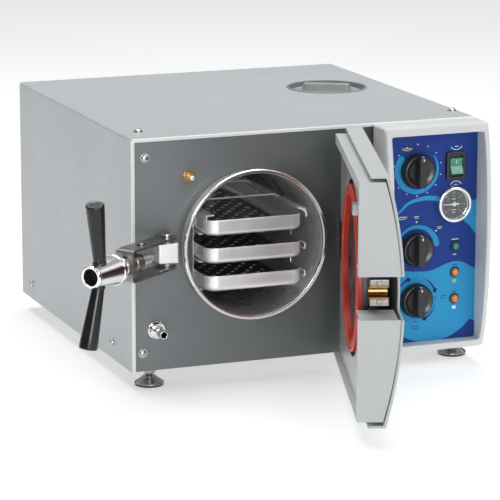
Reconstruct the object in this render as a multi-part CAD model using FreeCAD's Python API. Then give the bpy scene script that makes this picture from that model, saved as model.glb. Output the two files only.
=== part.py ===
import FreeCAD, Part

import math
import os

from FreeCAD import Vector

# Benchtop steam autoclave. Millimetres, +Z up, the front faces -Y.
# Pieces are built in the cabinet's own frame: x from its left face, y from its front
# edge towards the back, z from its underside. save() moves them to the part's frame,
# whose origin lies on the bench under the middle of the front left foot.

CABINET_W = 440.0
CABINET_D = 440.0
CABINET_H = 279.0
FOOT_DROP = 21.0
SHEET = 2.0
HEM = 4.0
PANEL_Y = 3.0

CHAMBER_X = 150.0
CHAMBER_Z = 146.0
CHAMBER_R = 85.5
CHAMBER_WALL = 3.0
CHAMBER_FRONT_Y = -14.8
CHAMBER_BACK_Y = 340.0
RIM_R = 90.5

BEZEL_X0 = 304.6
BEZEL_X1 = 441.0
BEZEL_TOP = 278.0
BEZEL_BACK_Y = -0.1
PLATE_Y = -22.0
PLATE_X0 = 312.6
PLATE_X1 = 433.8
PLATE_Z0 = 9.8
PLATE_Z1 = 267.0
KNOB_X = 353.2
KNOB_Z = (222.2, 126.0, 63.0)
KNOB_R = 20.8
ROW2_X = 404.5
GAUGE_X = 401.8
GAUGE_Z = 178.0
SWITCH_Z = 224.7
LAMP_X = 405.6
LAMP_Z = (125.7, 93.5, 60.6)

AXIS_Z = 145.5
PIVOT_X = 38.5
PIVOT_Y = -11.0
ARM_REST_TURN = -53.7
ARM_DIR = Vector(0, -1, 0)
GRIP_R = 133.0
GRIP_L = 86.0
GRIP_LEAN = 12.0
GRIP_SPIN = 4.0

DOOR_L = 298.0
DOOR_X0 = 3.0
DOOR_Y0 = -12.0
DOOR_Z0 = -1.5
DOOR_Z1 = 280.5
DOOR_REST_TURN = 71.7
HINGE_X = 278.3
HINGE_Y = -51.1
DOOR_EDGE_N = 32.0
DOOR_MID_N = 51.0
DOOR_SPLIT_N = 11.8
DOOR_WALL = 3.0
DOOR_STEP = 7.1
NOTCH_S = 49.5
NOTCH_Z0 = 120.5
NOTCH_Z1 = 169.0

TRAY_HALF = 61.0
TRAY_TOPS = (178.5, 145.0, 111.5)
TRAY_H = 19.0
TRAY_Y0 = -12.0
TRAY_LEN = 285.0
RACK_TOP = 184.5
RACK_SETBACK = 45.0

CAP_X = 356.5
CAP_Y = 263.0
CAP_R = 51.5

DRAIN_X = 30.0
DRAIN_Z = 50.0
SWITCH_PIN_X = 71.6
SWITCH_PIN_Z = 230.6
VALVE_X = 264.0
VALVE_Z = 215.0

FEET = ((28.0, 22.0), (424.0, 22.0), (50.0, 410.0), (390.0, 410.0))

UP = Vector(0, 0, 1)
BACK = Vector(0, 1, 0)
FRONT = Vector(0, -1, 0)
RIGHT = Vector(1, 0, 0)


def box(x0, x1, y0, y1, z0, z1):
    return Part.makeBox(x1 - x0, y1 - y0, z1 - z0, Vector(x0, y0, z0))


def cyl(x, y, z, axis, r, h):
    return Part.makeCylinder(r, h, Vector(x, y, z), axis)


def ring(x, y, z, axis, outer, inner, h):
    return cyl(x, y, z, axis, outer, h).cut(cyl(x, y, z, axis, inner, h))


def cone(x, y, z, axis, r0, r1, h):
    return Part.makeCone(r0, r1, h, Vector(x, y, z), axis)


def join(shapes):
    shape = shapes[0].fuse(shapes[1:])
    return shape.removeSplitter()


def extruded(points, direction):
    wire = Part.makePolygon([Vector(*p) for p in points] + [Vector(*points[0])])
    return Part.Face(wire).extrude(direction)


def slab(x0, x1, z0, z1, y, depth, r):
    """A plate facing -Y with rounded corners, from y towards the back."""
    shape = box(x0, x1, y, y + depth, z0, z1)
    corners = [e for e in shape.Edges if abs(e.tangentAt(0).y) > 0.9]
    return shape.makeFillet(r, corners)


def hexagon(x, y, z, axis, across, h):
    """A hex prism with its axis along -Y or +Z."""
    r = across / math.sqrt(3)
    points = []
    for i in range(6):
        a = math.radians(60 * i + 30)
        if axis == UP:
            points.append((x + r * math.cos(a), y + r * math.sin(a), z))
        else:
            points.append((x + r * math.cos(a), y, z + r * math.sin(a)))
    return extruded(points, axis * h)


def revolve_up(x, y, profile):
    """Turn a closed (radius, z) outline about a vertical line."""
    wire = Part.makePolygon([Vector(x + r, y, z) for r, z in profile + [profile[0]]])
    return Part.Face(wire).revolve(Vector(x, y, 0), UP, 360)


def revolve_front(x, z, profile):
    """Turn a closed (radius, y) outline about a line along Y."""
    wire = Part.makePolygon([Vector(x + r, y, z) for r, y in profile + [profile[0]]])
    return Part.Face(wire).revolve(Vector(x, 0, z), BACK, 360)


def pan_screw(x, y, z, axis, head_r=4.6, head_h=2.8, shank_r=2.0, length=9.0):
    """A pan-head screw whose head stands on the point, with a shank going the other way."""
    head = cyl(x, y, z, axis, head_r, head_h)
    tops = [e for e in head.Edges if abs((e.CenterOfMass - Vector(x, y, z)).dot(axis) - head_h) < 0.01]
    head = head.makeFillet(head_h * 0.6, tops)
    shank = cyl(x, y, z, axis * -1, shank_r, length)
    return head.fuse(shank)


def save(name, shape):
    """Write one node, moved to the part's frame."""
    moved = shape.copy()
    moved.translate(Vector(-FEET[0][0], -FEET[0][1], FOOT_DROP))
    moved.exportStep("parts/" + name + ".step")


def group(shapes):
    return Part.makeCompound(shapes)


# ---------------------------------------------------------------- cabinet


def side_screw_points():
    return [(x, y, 21.0) for x in (0.0, CABINET_W) for y in (72.6, 395.9)]


def top_screw_points():
    return [(24.0, 45.0), (430.0, 45.0)]


def cabinet_cover():
    """Top and both sides as one folded sheet with a hem round the front edge."""
    outer = box(0, CABINET_W, 0, CABINET_D, 0, CABINET_H)
    long_edges = [e for e in outer.Edges
                  if abs(e.tangentAt(0).y) > 0.9 and e.CenterOfMass.z > CABINET_H / 2]
    outer = outer.makeFillet(3.0, long_edges)
    inner = box(SHEET, CABINET_W - SHEET, -1, CABINET_D + 1, -1, CABINET_H - SHEET)
    shell = outer.cut(inner)
    frame = box(0.5, CABINET_W - 0.5, 0.4, PANEL_Y - 0.3, 0.5, CABINET_H - 0.5)
    frame = frame.cut(box(HEM, CABINET_W - HEM, -1, 10, -1, CABINET_H - HEM))
    shell = join([shell, frame])
    cuts = [cyl(CAP_X, CAP_Y, CABINET_H - 5, UP, CAP_R - 1.5, 10)]
    for x, y, z in side_screw_points():
        cuts.append(cyl(x - 4, y, z, RIGHT, 2.2, 8))
    for x, y in top_screw_points():
        cuts.append(cyl(x, y, CABINET_H - 5, UP, 2.2, 10))
    return shell.cut(cuts)


def base_plate():
    """Floor sheet with folded side flanges that the cover screws go into."""
    floor = box(SHEET + 0.2, CABINET_W - SHEET - 0.2, PANEL_Y + 3, CABINET_D - 5, 0, 2)
    parts = [floor]
    for x in (SHEET + 0.2, CABINET_W - SHEET - 2.2):
        parts.append(box(x, x + 2, PANEL_Y + 3, CABINET_D - 5, 0, 32))
    shape = join(parts)
    cuts = [cyl(x, y, -1, UP, 4.1, 5) for x, y in FEET]
    for x, y, z in side_screw_points():
        cuts.append(cyl(x - 6, y, z, RIGHT, 2.0, 12))
    for i in range(6):
        cuts.append(box(180, 300, 120 + 32 * i, 126 + 32 * i, -1, 3))
    return shape.cut(cuts)


def rear_panel():
    plate = box(SHEET + 0.2, CABINET_W - SHEET - 0.2, CABINET_D - 4, CABINET_D - 2.5,
                0.5, CABINET_H - SHEET - 0.2)
    cuts = [cyl(VALVE_X, CABINET_D - 8, VALVE_Z, BACK, 9.2, 10),
            box(350, 378, CABINET_D - 8, CABINET_D, 30, 50)]
    for i in range(8):
        cuts.append(box(60, 240, CABINET_D - 8, CABINET_D, 60 + 22 * i, 66 + 22 * i))
    return plate.cut(cuts)


def front_panel():
    plate = box(SHEET + 0.2, 438, PANEL_Y, PANEL_Y + 2, 1, CABINET_H - SHEET - 0.3)
    cuts = [cyl(CHAMBER_X, 0, CHAMBER_Z, BACK, CHAMBER_R + CHAMBER_WALL + 0.6, 10),
            cyl(SWITCH_PIN_X, 0, SWITCH_PIN_Z, BACK, 5.0, 10),
            cyl(DRAIN_X, 0, DRAIN_Z, BACK, 6.5, 10),
            box(325, 428, 0, 10, 20, 255)]
    for x, z in panel_screw_points():
        cuts.append(cyl(x, 0, z, BACK, 2.0, 10))
    return plate.cut(cuts)


def panel_screw_points():
    return [(17.5, 256.0), (13.5, 23.0), (290.0, 265.0), (290.0, 14.0)]


def panel_screws():
    """Screws that hold the front panel and the cover: identical pan heads."""
    screws = [pan_screw(x, PANEL_Y, z, FRONT, length=4.5) for x, z in panel_screw_points()]
    for x, y, z in side_screw_points():
        axis = RIGHT if x > 1 else RIGHT * -1
        screws.append(pan_screw(x, y, z, axis, head_r=4.2, length=4.0))
    for x, y in top_screw_points():
        screws.append(pan_screw(x, y, CABINET_H, UP, head_r=4.2, length=8.0))
    return group(screws)


def foot_pads():
    pads = []
    for x, y in FEET:
        pads.append(revolve_up(x, y, [(0, -21), (17.0, -21), (18.0, -19.5), (18.0, -16.5),
                                      (16.5, -15.5), (6.0, -11), (6.0, -9), (4.02, -9),
                                      (4.02, -17), (0, -17)]))
    return group(pads)


def foot_stems():
    """Threaded stems with a hex flange, their lower end in the pad's socket."""
    stems = []
    for x, y in FEET:
        stem = cyl(x, y, -17, UP, 4.0, 31)
        nut_low = hexagon(x, y, -6, UP, 13.0, 5.5)
        nut_top = hexagon(x, y, 2.05, UP, 13.0, 5.0)
        stems.append(join([stem, nut_low, nut_top]))
    return group(stems)


# ---------------------------------------------------------------- control panel


def bezel_front_y(z):
    """Bowed front line of the bezel's side profile."""
    span = (z - BEZEL_TOP / 2 - 4) / (BEZEL_TOP / 2)
    return -49.0 + 11.0 * span * span + 5.0 * span ** 6


def control_bezel():
    """Deep moulded frame round the control plate, with a bowed front."""
    levels = [BEZEL_TOP * i / 12.0 for i in range(13)]
    outline = [Vector(BEZEL_X0, bezel_front_y(z), z) for z in levels]
    curve = Part.BSplineCurve()
    curve.interpolate(outline)
    top = Vector(BEZEL_X0, BEZEL_BACK_Y, BEZEL_TOP)
    low = Vector(BEZEL_X0, BEZEL_BACK_Y, 0)
    wire = Part.Wire([curve.toShape(), Part.makeLine(outline[-1], top),
                      Part.makeLine(top, low), Part.makeLine(low, outline[0])])
    body = Part.Face(wire).extrude(Vector(BEZEL_X1 - BEZEL_X0, 0, 0))
    uprights = []
    for e in body.Edges:
        box_e = e.BoundBox
        if box_e.ZLength > 200 and box_e.YMin < -20:
            uprights.append(e)
    body = body.makeFillet(4.0, uprights)
    window = slab(PLATE_X0, PLATE_X1, PLATE_Z0, PLATE_Z1, -80, 100, 3.0)
    pocket = box(BEZEL_X0 + 3, BEZEL_X1 - 3, PLATE_Y + 1.6, 10, 3, BEZEL_TOP - 3)
    return body.cut([window, pocket])


def control_plate():
    """Printed aluminium plate behind the bezel's window, with its holes."""
    plate = box(BEZEL_X0 + 3.3, BEZEL_X1 - 3.3, PLATE_Y + 1.8, PLATE_Y + 3.8,
                4, BEZEL_TOP - 4)
    cuts = [cyl(KNOB_X, PLATE_Y - 5, z, BACK, 5.0, 20) for z in KNOB_Z]
    cuts += [cyl(LAMP_X, PLATE_Y - 5, z, BACK, 4.1, 20) for z in LAMP_Z]
    cuts.append(cyl(GAUGE_X, PLATE_Y - 5, GAUGE_Z, BACK, 19.3, 20))
    cuts.append(box(ROW2_X - 13.5, ROW2_X + 13.5, -40, 0, SWITCH_Z - 11, SWITCH_Z + 11))
    return plate.cut(cuts)


PLATE_FACE_Y = PLATE_Y + 1.8


def knob(z):
    """Round knob with a raised grip bar across its face, bored for a 6 mm shaft."""
    y = PLATE_FACE_Y - 1.0
    skirt = cone(KNOB_X, y, z, FRONT, KNOB_R, KNOB_R - 1.2, 10)
    edges = [e for e in skirt.Edges if abs(e.CenterOfMass.y - (y - 10)) < 0.01]
    skirt = skirt.makeFillet(2.0, edges)
    bar = box(KNOB_X - 5.0, KNOB_X + 5.0, y - 20, y - 8, z - 19.0, z + 19.0)
    tips = [e for e in bar.Edges if abs(e.tangentAt(0).x) < 0.1 and abs(e.tangentAt(0).z) < 0.1]
    bar = bar.makeFillet(3.5, tips)
    bar = bar.common(cyl(KNOB_X, y, z, FRONT, KNOB_R - 1.6, 25))
    return join([skirt, bar]).cut(cyl(KNOB_X, y, z, FRONT, 3.05, 12))


def shaft_unit(z, width, height, depth):
    """Control body behind the plate with a threaded neck and a 6 mm shaft."""
    y = PLATE_FACE_Y + 2.05
    body = box(KNOB_X - width / 2, KNOB_X + width / 2, y, y + depth, z - height / 2, z + height / 2)
    neck = cyl(KNOB_X, PLATE_FACE_Y - 0.6, z, BACK, 4.9, 3)
    shaft = cyl(KNOB_X, PLATE_FACE_Y - 12.0, z, BACK, 3.0, 13)
    return join([body, neck, shaft])


def valve_unit():
    """Multi-way valve block with three pipe stubs pointing back."""
    z = KNOB_Z[2]
    parts = [shaft_unit(z, 44, 40, 36)]
    y = PLATE_FACE_Y + 37
    for dx, dz in ((-12, 10), (12, 10), (0, -10)):
        parts.append(cyl(KNOB_X + dx, y, z + dz, BACK, 4.0, 12))
    return join(parts)


def gauge_case():
    """Round gauge: turned bezel in front of the plate, can and stem behind it."""
    y = PLATE_FACE_Y
    flange = ring(GAUGE_X, y - 8.0, GAUGE_Z, BACK, 22.5, 19.6, 7.9)
    edges = [e for e in flange.Edges if abs(e.CenterOfMass.y - (y - 8.0)) < 0.01
             and e.Length > 130]
    flange = flange.makeFillet(2.0, edges)
    can = cyl(GAUGE_X, y - 3.0, GAUGE_Z, BACK, 19.0, 31)
    can = can.cut(cyl(GAUGE_X, y - 3.0, GAUGE_Z, BACK, 17.6, 1.5))
    web = ring(GAUGE_X, y - 3.0, GAUGE_Z, BACK, 20.5, 18.5, 2.9)
    stem = cyl(GAUGE_X, y + 26, GAUGE_Z, BACK, 5.0, 14)
    pivot = cyl(GAUGE_X, y - 5.0, GAUGE_Z, BACK, 1.0, 4)
    return join([flange, can, web, stem, pivot])


def gauge_dial():
    dial = cyl(GAUGE_X, PLATE_FACE_Y - 2.6, GAUGE_Z, BACK, 17.5, 1.0)
    return dial.cut(cyl(GAUGE_X, PLATE_FACE_Y - 5, GAUGE_Z, BACK, 1.2, 6))


def gauge_needle():
    """Needle and hub on the gauge's spindle, pointing left at rest."""
    y = PLATE_FACE_Y - 4.2
    hub = cyl(GAUGE_X, y, GAUGE_Z, BACK, 2.6, 1.0)
    arm = extruded([(GAUGE_X + 6, y, GAUGE_Z - 0.9), (GAUGE_X - 14.5, y, GAUGE_Z - 0.35),
                    (GAUGE_X - 14.5, y, GAUGE_Z + 0.35), (GAUGE_X + 6, y, GAUGE_Z + 0.9)],
                   BACK * 0.8)
    return join([hub, arm]).cut(cyl(GAUGE_X, y - 1, GAUGE_Z, BACK, 1.05, 4))


def gauge_lens():
    return cyl(GAUGE_X, PLATE_FACE_Y - 6.8, GAUGE_Z, BACK, 19.5, 1.2)


def switch_housing():
    """Rocker switch frame with its snap-in body."""
    y = PLATE_FACE_Y
    flange = slab(ROW2_X - 12.8, ROW2_X + 12.8, SWITCH_Z - 17, SWITCH_Z + 17, y - 3.5, 3.45, 2.0)
    body = box(ROW2_X - 11.5, ROW2_X + 11.5, y - 1, y + 22, SWITCH_Z - 10.8, SWITCH_Z + 10.8)
    body = join([flange, body])
    well = box(ROW2_X - 8.2, ROW2_X + 8.2, y - 10, y + 9, SWITCH_Z - 13.2, SWITCH_Z + 13.2)
    return body.cut(well.common(box(ROW2_X - 20, ROW2_X + 20, y - 10, y - 0.8, 0, 300)
                                .fuse(box(ROW2_X - 9, ROW2_X + 9, y - 1, y + 9,
                                          SWITCH_Z - 9.8, SWITCH_Z + 9.8))))


def power_rocker():
    """Rocker on a cross pin at the plate's face; its lower half stands out at rest."""
    y = PLATE_FACE_Y - 2.4
    outline = [(-9.3, y - 1.2), (0, y + 0.2), (9.3, y - 4.4), (9.3, y + 1.0), (5, y + 5), (-5, y + 5),
               (-9.3, y + 1.0)]
    points = [(ROW2_X - 7.8, py, SWITCH_Z - dz) for dz, py in outline]
    return extruded(points, RIGHT * 15.6)


def lamp_bodies():
    """Black snap-in lamp holders behind the plate with a thin collar in front."""
    bodies = []
    for z in LAMP_Z:
        y = PLATE_FACE_Y
        collar = ring(LAMP_X, y - 1.6, z, BACK, 6.2, 4.0, 1.55)
        barrel = ring(LAMP_X, y - 1.0, z, BACK, 4.05, 3.2, 22)
        bodies.append(join([collar, barrel]))
    return group(bodies)


def lamp_lens(z):
    """Domed lens on a short barrel inside the lamp holder."""
    y = PLATE_FACE_Y
    dome = Part.makeSphere(4.6, Vector(LAMP_X, y - 1.7, z), FRONT, 0, 90, 360)
    barrel = cyl(LAMP_X, y - 1.7, z, BACK, 3.15, 12)
    return join([dome, barrel])


# ---------------------------------------------------------------- chamber


def chamber_shell():
    """Deep-drawn pressure chamber: a tube closed by a domed back."""
    outer_r = CHAMBER_R + CHAMBER_WALL
    front = CHAMBER_FRONT_Y + 3.0
    tube = cyl(CHAMBER_X, front, CHAMBER_Z, BACK, outer_r, CHAMBER_BACK_Y - front)
    bore = cyl(CHAMBER_X, front - 1, CHAMBER_Z, BACK, CHAMBER_R, CHAMBER_BACK_Y - front + 1)
    dome = dome_back(outer_r, CHAMBER_BACK_Y, 30.0)
    hollow = dome_back(CHAMBER_R, CHAMBER_BACK_Y, 27.0)
    port = cyl(CHAMBER_X, CHAMBER_BACK_Y + 26, CHAMBER_Z, BACK, 9.0, 14)
    shape = join([tube, dome, port])
    return shape.cut(join([bore, hollow]))


def dome_back(r, y, rise):
    """Cap of a sphere of base radius r that bulges back by rise."""
    ball_r = (r * r + rise * rise) / (2 * rise)
    ball = Part.makeSphere(ball_r, Vector(CHAMBER_X, y + rise - ball_r, CHAMBER_Z))
    return ball.common(cyl(CHAMBER_X, y, CHAMBER_Z, BACK, r, rise + 5))


def chamber_rim():
    """Polished sealing rim on the chamber's mouth."""
    y = CHAMBER_FRONT_Y
    return revolve_front(CHAMBER_X, CHAMBER_Z,
                         [(CHAMBER_R, y + 1.0), (CHAMBER_R + 1.0, y), (RIM_R - 1.2, y),
                          (RIM_R, y + 1.2), (RIM_R, y + 6.0), (RIM_R - 1.0, y + 7.5),
                          (CHAMBER_R + CHAMBER_WALL + 0.05, y + 7.5),
                          (CHAMBER_R + CHAMBER_WALL + 0.05, y + 3.0), (CHAMBER_R, y + 3.0)])


def heater_bands():
    outer = CHAMBER_R + CHAMBER_WALL
    return group([ring(CHAMBER_X, y, CHAMBER_Z, BACK, outer + 4.5, outer + 0.1, 50)
                  for y in (70, 210)])


def insulation_jacket():
    """Felt wrap over the heater bands."""
    outer = CHAMBER_R + CHAMBER_WALL
    return ring(CHAMBER_X, 45, CHAMBER_Z, BACK, outer + 20, outer + 5, 270)


def chamber_saddles():
    """Two folded supports that carry the jacketed chamber on the base plate."""
    saddles = []
    for y in (28.0, 322.0):
        block = box(CHAMBER_X - 70, CHAMBER_X + 70, y, y + 6, 2.05, 110)
        saddles.append(block.cut(cyl(CHAMBER_X, y - 1, CHAMBER_Z, BACK,
                                     CHAMBER_R + CHAMBER_WALL + 0.3, 8)))
    return group(saddles)


def tray_rack():
    """Bent stainless frame that stands in the chamber and carries the trays on ledges.

    Its side sheets start behind the mouth; the ledges and top rails reach to the front.
    """
    parts = []
    half = TRAY_HALF + 0.8
    y0 = TRAY_Y0 - 1.5
    y1 = TRAY_Y0 + TRAY_LEN + 4
    sheet_y = y0 + RACK_SETBACK
    for side in (-1, 1):
        a = CHAMBER_X + side * half
        b = CHAMBER_X + side * (half + 1.2)
        parts.append(box(min(a, b), max(a, b), sheet_y, y1, 90.5, RACK_TOP))
        parts.append(box(min(a, b), max(a, b), y0, y1, RACK_TOP - 5, RACK_TOP))
        for top in TRAY_TOPS:
            inner = CHAMBER_X + side * (half - 4.5)
            z = top - TRAY_H - 0.4
            parts.append(box(min(b, inner), max(b, inner), y0, y1, z - 1.2, z))
        inner = CHAMBER_X + side * (half - 9)
        parts.append(box(min(b, inner), max(b, inner), y0, y1, RACK_TOP, RACK_TOP + 1.2))
    rest = math.sqrt(CHAMBER_R ** 2 - (CHAMBER_Z - 89.2) ** 2) - 0.1
    for y in (sheet_y, y1 - 12):
        parts.append(box(CHAMBER_X - rest, CHAMBER_X + rest, y, y + 12, 89.2, 90.6))
    return join(parts)


def tray(top):
    """Shallow drawn tray with rounded corners and a perforated floor."""
    z0 = top - TRAY_H
    outer = tray_block(TRAY_HALF, z0, top, TRAY_Y0, TRAY_LEN, 15.0)
    inner = tray_block(TRAY_HALF - 1.2, z0 + 1.2, top + 5, TRAY_Y0 + 1.2, TRAY_LEN - 2.4, 13.8)
    shape = outer.cut(inner)
    holes = []
    for i in range(5):
        for j in range(11):
            x = CHAMBER_X + (i - 2) * 20.0
            y = TRAY_Y0 + 22.0 + j * 24.0
            holes.append(cyl(x, y, z0 - 1, UP, 2.2, 4))
    return shape.cut(holes)


def tray_block(half, z0, z1, y0, length, r):
    shape = box(CHAMBER_X - half, CHAMBER_X + half, y0, y0 + length, z0, z1)
    uprights = [e for e in shape.Edges if abs(e.tangentAt(0).z) > 0.9]
    return shape.makeFillet(r, uprights)


# ---------------------------------------------------------------- water system


def fill_port_dish():
    """Recessed round dish in the top with the filler neck through its middle."""
    z = CABINET_H
    flange = ring(CAP_X, CAP_Y, z + 0.05, UP, CAP_R, CAP_R - 4, 1.2)
    wall = ring(CAP_X, CAP_Y, z - 9, UP, CAP_R - 2, CAP_R - 3.2, 10)
    floor = ring(CAP_X, CAP_Y, z - 9, UP, CAP_R - 2, 24.0, 1.4)
    neck = ring(CAP_X, CAP_Y, z - 24, UP, 25.2, 24.0, 16)
    return join([flange, wall, floor, neck])


def fill_cap():
    """Lift-out cap with a raised bar handle set across it."""
    z = CABINET_H - 7.5
    plug = cyl(CAP_X, CAP_Y, z - 8, UP, 23.6, 8.5)
    disc = cyl(CAP_X, CAP_Y, z, UP, CAP_R - 4.0, 2.5)
    bar = box(CAP_X - 30, CAP_X + 30, CAP_Y - 5, CAP_Y + 5, z + 2, z + 13)
    ends = [e for e in bar.Edges if abs(e.tangentAt(0).z) > 0.9]
    bar = bar.makeFillet(4.5, ends)
    bar.rotate(Vector(CAP_X, CAP_Y, z), UP, -28)
    return join([plug, disc, bar])


def water_reservoir():
    """Open-topped water tank under the filler neck, beside the chamber."""
    outer = box(286, 430, 150, 400, 12, 250)
    inner = box(288, 428, 152, 398, 14, 248)
    tank = outer.cut(inner)
    neck_hole = cyl(CAP_X, CAP_Y, 240, UP, 30, 20)
    return tank.cut(neck_hole)


def water_pipes():
    """Copper pipes: valve to chamber, valve to reservoir, gauge line."""
    y0 = PLATE_FACE_Y + 49.2
    runs = [
        ((KNOB_X - 12, y0, KNOB_Z[2] + 10), (KNOB_X - 12, 120.0, KNOB_Z[2] + 10),
         (268.0, 120.0, KNOB_Z[2] + 10)),
        ((KNOB_X + 12, y0, KNOB_Z[2] + 10), (KNOB_X + 12, 100.0, KNOB_Z[2] + 10),
         (KNOB_X + 12, 149.8, KNOB_Z[2] + 10)),
        ((GAUGE_X, PLATE_FACE_Y + 40.2, GAUGE_Z), (GAUGE_X, 110.0, GAUGE_Z), (268.0, 110.0, GAUGE_Z)),
    ]
    return group([pipe(points, 3.0) for points in runs])


def pipe(points, r):
    shapes = []
    for a, b in zip(points, points[1:]):
        start, end = Vector(*a), Vector(*b)
        shapes.append(Part.makeCylinder(r, (end - start).Length, start, end - start))
    for p in points[1:-1]:
        shapes.append(Part.makeSphere(r, Vector(*p)))
    return join(shapes)


def safety_valve():
    """Spring safety valve on its own pipe, with its discharge through the back panel."""
    y = CABINET_D - 60
    body = cyl(VALVE_X, y, VALVE_Z, BACK, 9.0, 66)
    hexa = cyl(VALVE_X, y - 14, VALVE_Z, BACK, 12.0, 14)
    down = cyl(VALVE_X, y - 7, VALVE_Z - 30, UP, 6.0, 24)
    return join([body, hexa, down])


def power_inlet():
    """Mains inlet with a hollow for the cable's plug."""
    block = box(350.3, 377.7, CABINET_D - 24, CABINET_D - 2.4, 30.3, 49.7)
    flange = box(343, 385, CABINET_D - 2.4, CABINET_D - 0.4, 26, 54)
    well = box(353, 375, CABINET_D - 18, CABINET_D, 33, 47)
    return join([block, flange]).cut(well)


def drain_valve():
    """Turning hose spigot with a hex collar: it opens the reservoir's drain."""
    x, z = DRAIN_X, DRAIN_Z
    stem = cyl(x, PANEL_Y + 20, z, FRONT, 6.4, 22)
    collar = hexagon(x, PANEL_Y - 0.4, z, FRONT, 17.0, 8.0)
    tip = cyl(x, PANEL_Y - 8, z, FRONT, 5.0, 17)
    nose = cone(x, PANEL_Y - 25, z, FRONT, 5.0, 4.4, 3)
    shape = join([stem, collar, tip, nose])
    return shape.cut(cyl(x, PANEL_Y - 28.5, z, BACK, 3.2, 30))


def door_switch_socket():
    """Brass bush of the door switch with the switch body behind the panel."""
    x, z = SWITCH_PIN_X, SWITCH_PIN_Z
    bush = ring(x, PANEL_Y - 6, z, BACK, 4.9, 3.06, 22)
    nut = hexagon(x, PANEL_Y - 0.05, z, FRONT, 12.0, 4.0).cut(cyl(x, -20, z, BACK, 4.0, 40))
    body = box(x - 8, x + 8, PANEL_Y + 16, PANEL_Y + 38, z - 10, z + 10)
    body = body.cut(cyl(x, PANEL_Y + 10, z, BACK, 3.06, 14))
    return join([bush, nut, body])


def door_switch_plunger():
    x, z = SWITCH_PIN_X, SWITCH_PIN_Z
    rod = cyl(x, -10.5, z, BACK, 3.0, 28)
    edges = [e for e in rod.Edges if abs(e.CenterOfMass.y + 10.5) < 0.01]
    return rod.makeFillet(1.4, edges)


# ---------------------------------------------------------------- closing arm
# The arm is built closed, pointing to the front, and then turned to its rest place.


def arm(shape):
    turned = shape.copy()
    turned.rotate(Vector(PIVOT_X, PIVOT_Y, 0), UP, ARM_REST_TURN)
    return turned


def along(r0, r1, radius, radius_end=None):
    """A round length of the arm's axis between two distances from the pivot."""
    if radius_end is None:
        return cyl(PIVOT_X, PIVOT_Y - r0, AXIS_Z, FRONT, radius, r1 - r0)
    return cone(PIVOT_X, PIVOT_Y - r0, AXIS_Z, FRONT, radius, radius_end, r1 - r0)


YOKE_IN = 16.0
YOKE_OUT = 19.0
YOKE_HALF = 12.0
YOKE_END = 86.0
FOOT_FACE = 40.0
THREAD_R = 8.0


def pivot_block():
    """Forged block on the chamber's front, drilled for the pivot screws."""
    block = box(26.5, 50.5, -20, PANEL_Y - 0.05, AXIS_Z - 12, AXIS_Z + 12)
    edges = [e for e in block.Edges if e.BoundBox.YMax < -19.9]
    block = block.makeFillet(1.5, edges)
    return block.cut(cyl(PIVOT_X, PIVOT_Y, AXIS_Z - 20, UP, 4.0, 40))


def pivot_screws():
    """Shoulder screws from above and below, each with a bronze thrust washer."""
    shapes = []
    for side in (-1, 1):
        axis = UP * side
        shoulder = cyl(PIVOT_X, PIVOT_Y, AXIS_Z + side * 3, axis, 4.0, YOKE_OUT - 3 + 0.3)
        head = cyl(PIVOT_X, PIVOT_Y, AXIS_Z + side * (YOKE_OUT + 0.3), axis, 7.0, 2.8)
        screw = join([shoulder, head])
        shapes.append(screw)
        shapes.append(ring(PIVOT_X, PIVOT_Y, AXIS_Z + side * 12.02, axis, 9.0, 4.03, 3.9))
    return group(shapes)


def closing_yoke():
    """U-shaped strap: two legs on the pivot, an end plate and the welded screw nut."""
    r0 = PIVOT_Y
    legs = []
    for side in (-1, 1):
        z0 = AXIS_Z + min(side * YOKE_IN, side * YOKE_OUT)
        leg = box(PIVOT_X - YOKE_HALF, PIVOT_X + YOKE_HALF, r0 - YOKE_END, r0, z0, z0 + 3)
        nose = cyl(PIVOT_X, PIVOT_Y, z0, UP, YOKE_HALF, 3)
        legs += [leg, nose]
    plate = box(PIVOT_X - YOKE_HALF, PIVOT_X + YOKE_HALF, r0 - YOKE_END, r0 - YOKE_END + 4,
                AXIS_Z - YOKE_OUT, AXIS_Z + YOKE_OUT)
    shape = join(legs + [plate, along(62, YOKE_END, 11.0)])
    bends = [e for e in shape.Edges if abs(e.tangentAt(0).x) > 0.9
             and e.BoundBox.YMax < r0 - YOKE_END + 0.1]
    shape = shape.makeFillet(2.0, bends)
    shape = shape.cut(along(55, 95, THREAD_R + 0.06))
    return arm(shape.cut(cyl(PIVOT_X, PIVOT_Y, AXIS_Z - 30, UP, 4.05, 60)))


def pressure_foot():
    """Swivel foot that bears on the door bar: shoulder, pilot and bearing ring."""
    body = along(FOOT_FACE, 57, 7.5)
    flange = along(57, 60, 9.0)
    pilot = along(32, FOOT_FACE, 5.0)
    shape = join([body, flange, pilot])
    return arm(shape.cut(along(48, 61, 4.04)))


def spindle():
    """Pressing screw with its journal in the foot and turned collars outside the nut."""
    journal = along(48.2, 60.2, 4.0)
    thread = along(60.2, 108, THREAD_R)
    collars = [along(90.5, 94, 11.5), along(94, 96, 9.5), along(96, 100, 12.0), along(100, 104, 10.0)]
    return arm(join([journal, thread] + collars))


def handle_hub():
    """Chromed conical hub, hollow at its outer end."""
    cone_body = along(104.05, 149, 18.2, 12.8)
    lip = along(149, 153, 12.8, 12.2)
    shape = join([cone_body, lip])
    shape = shape.cut([along(104, 108.05, THREAD_R), along(139, 160, 9.6)])
    return arm(shape)


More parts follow.
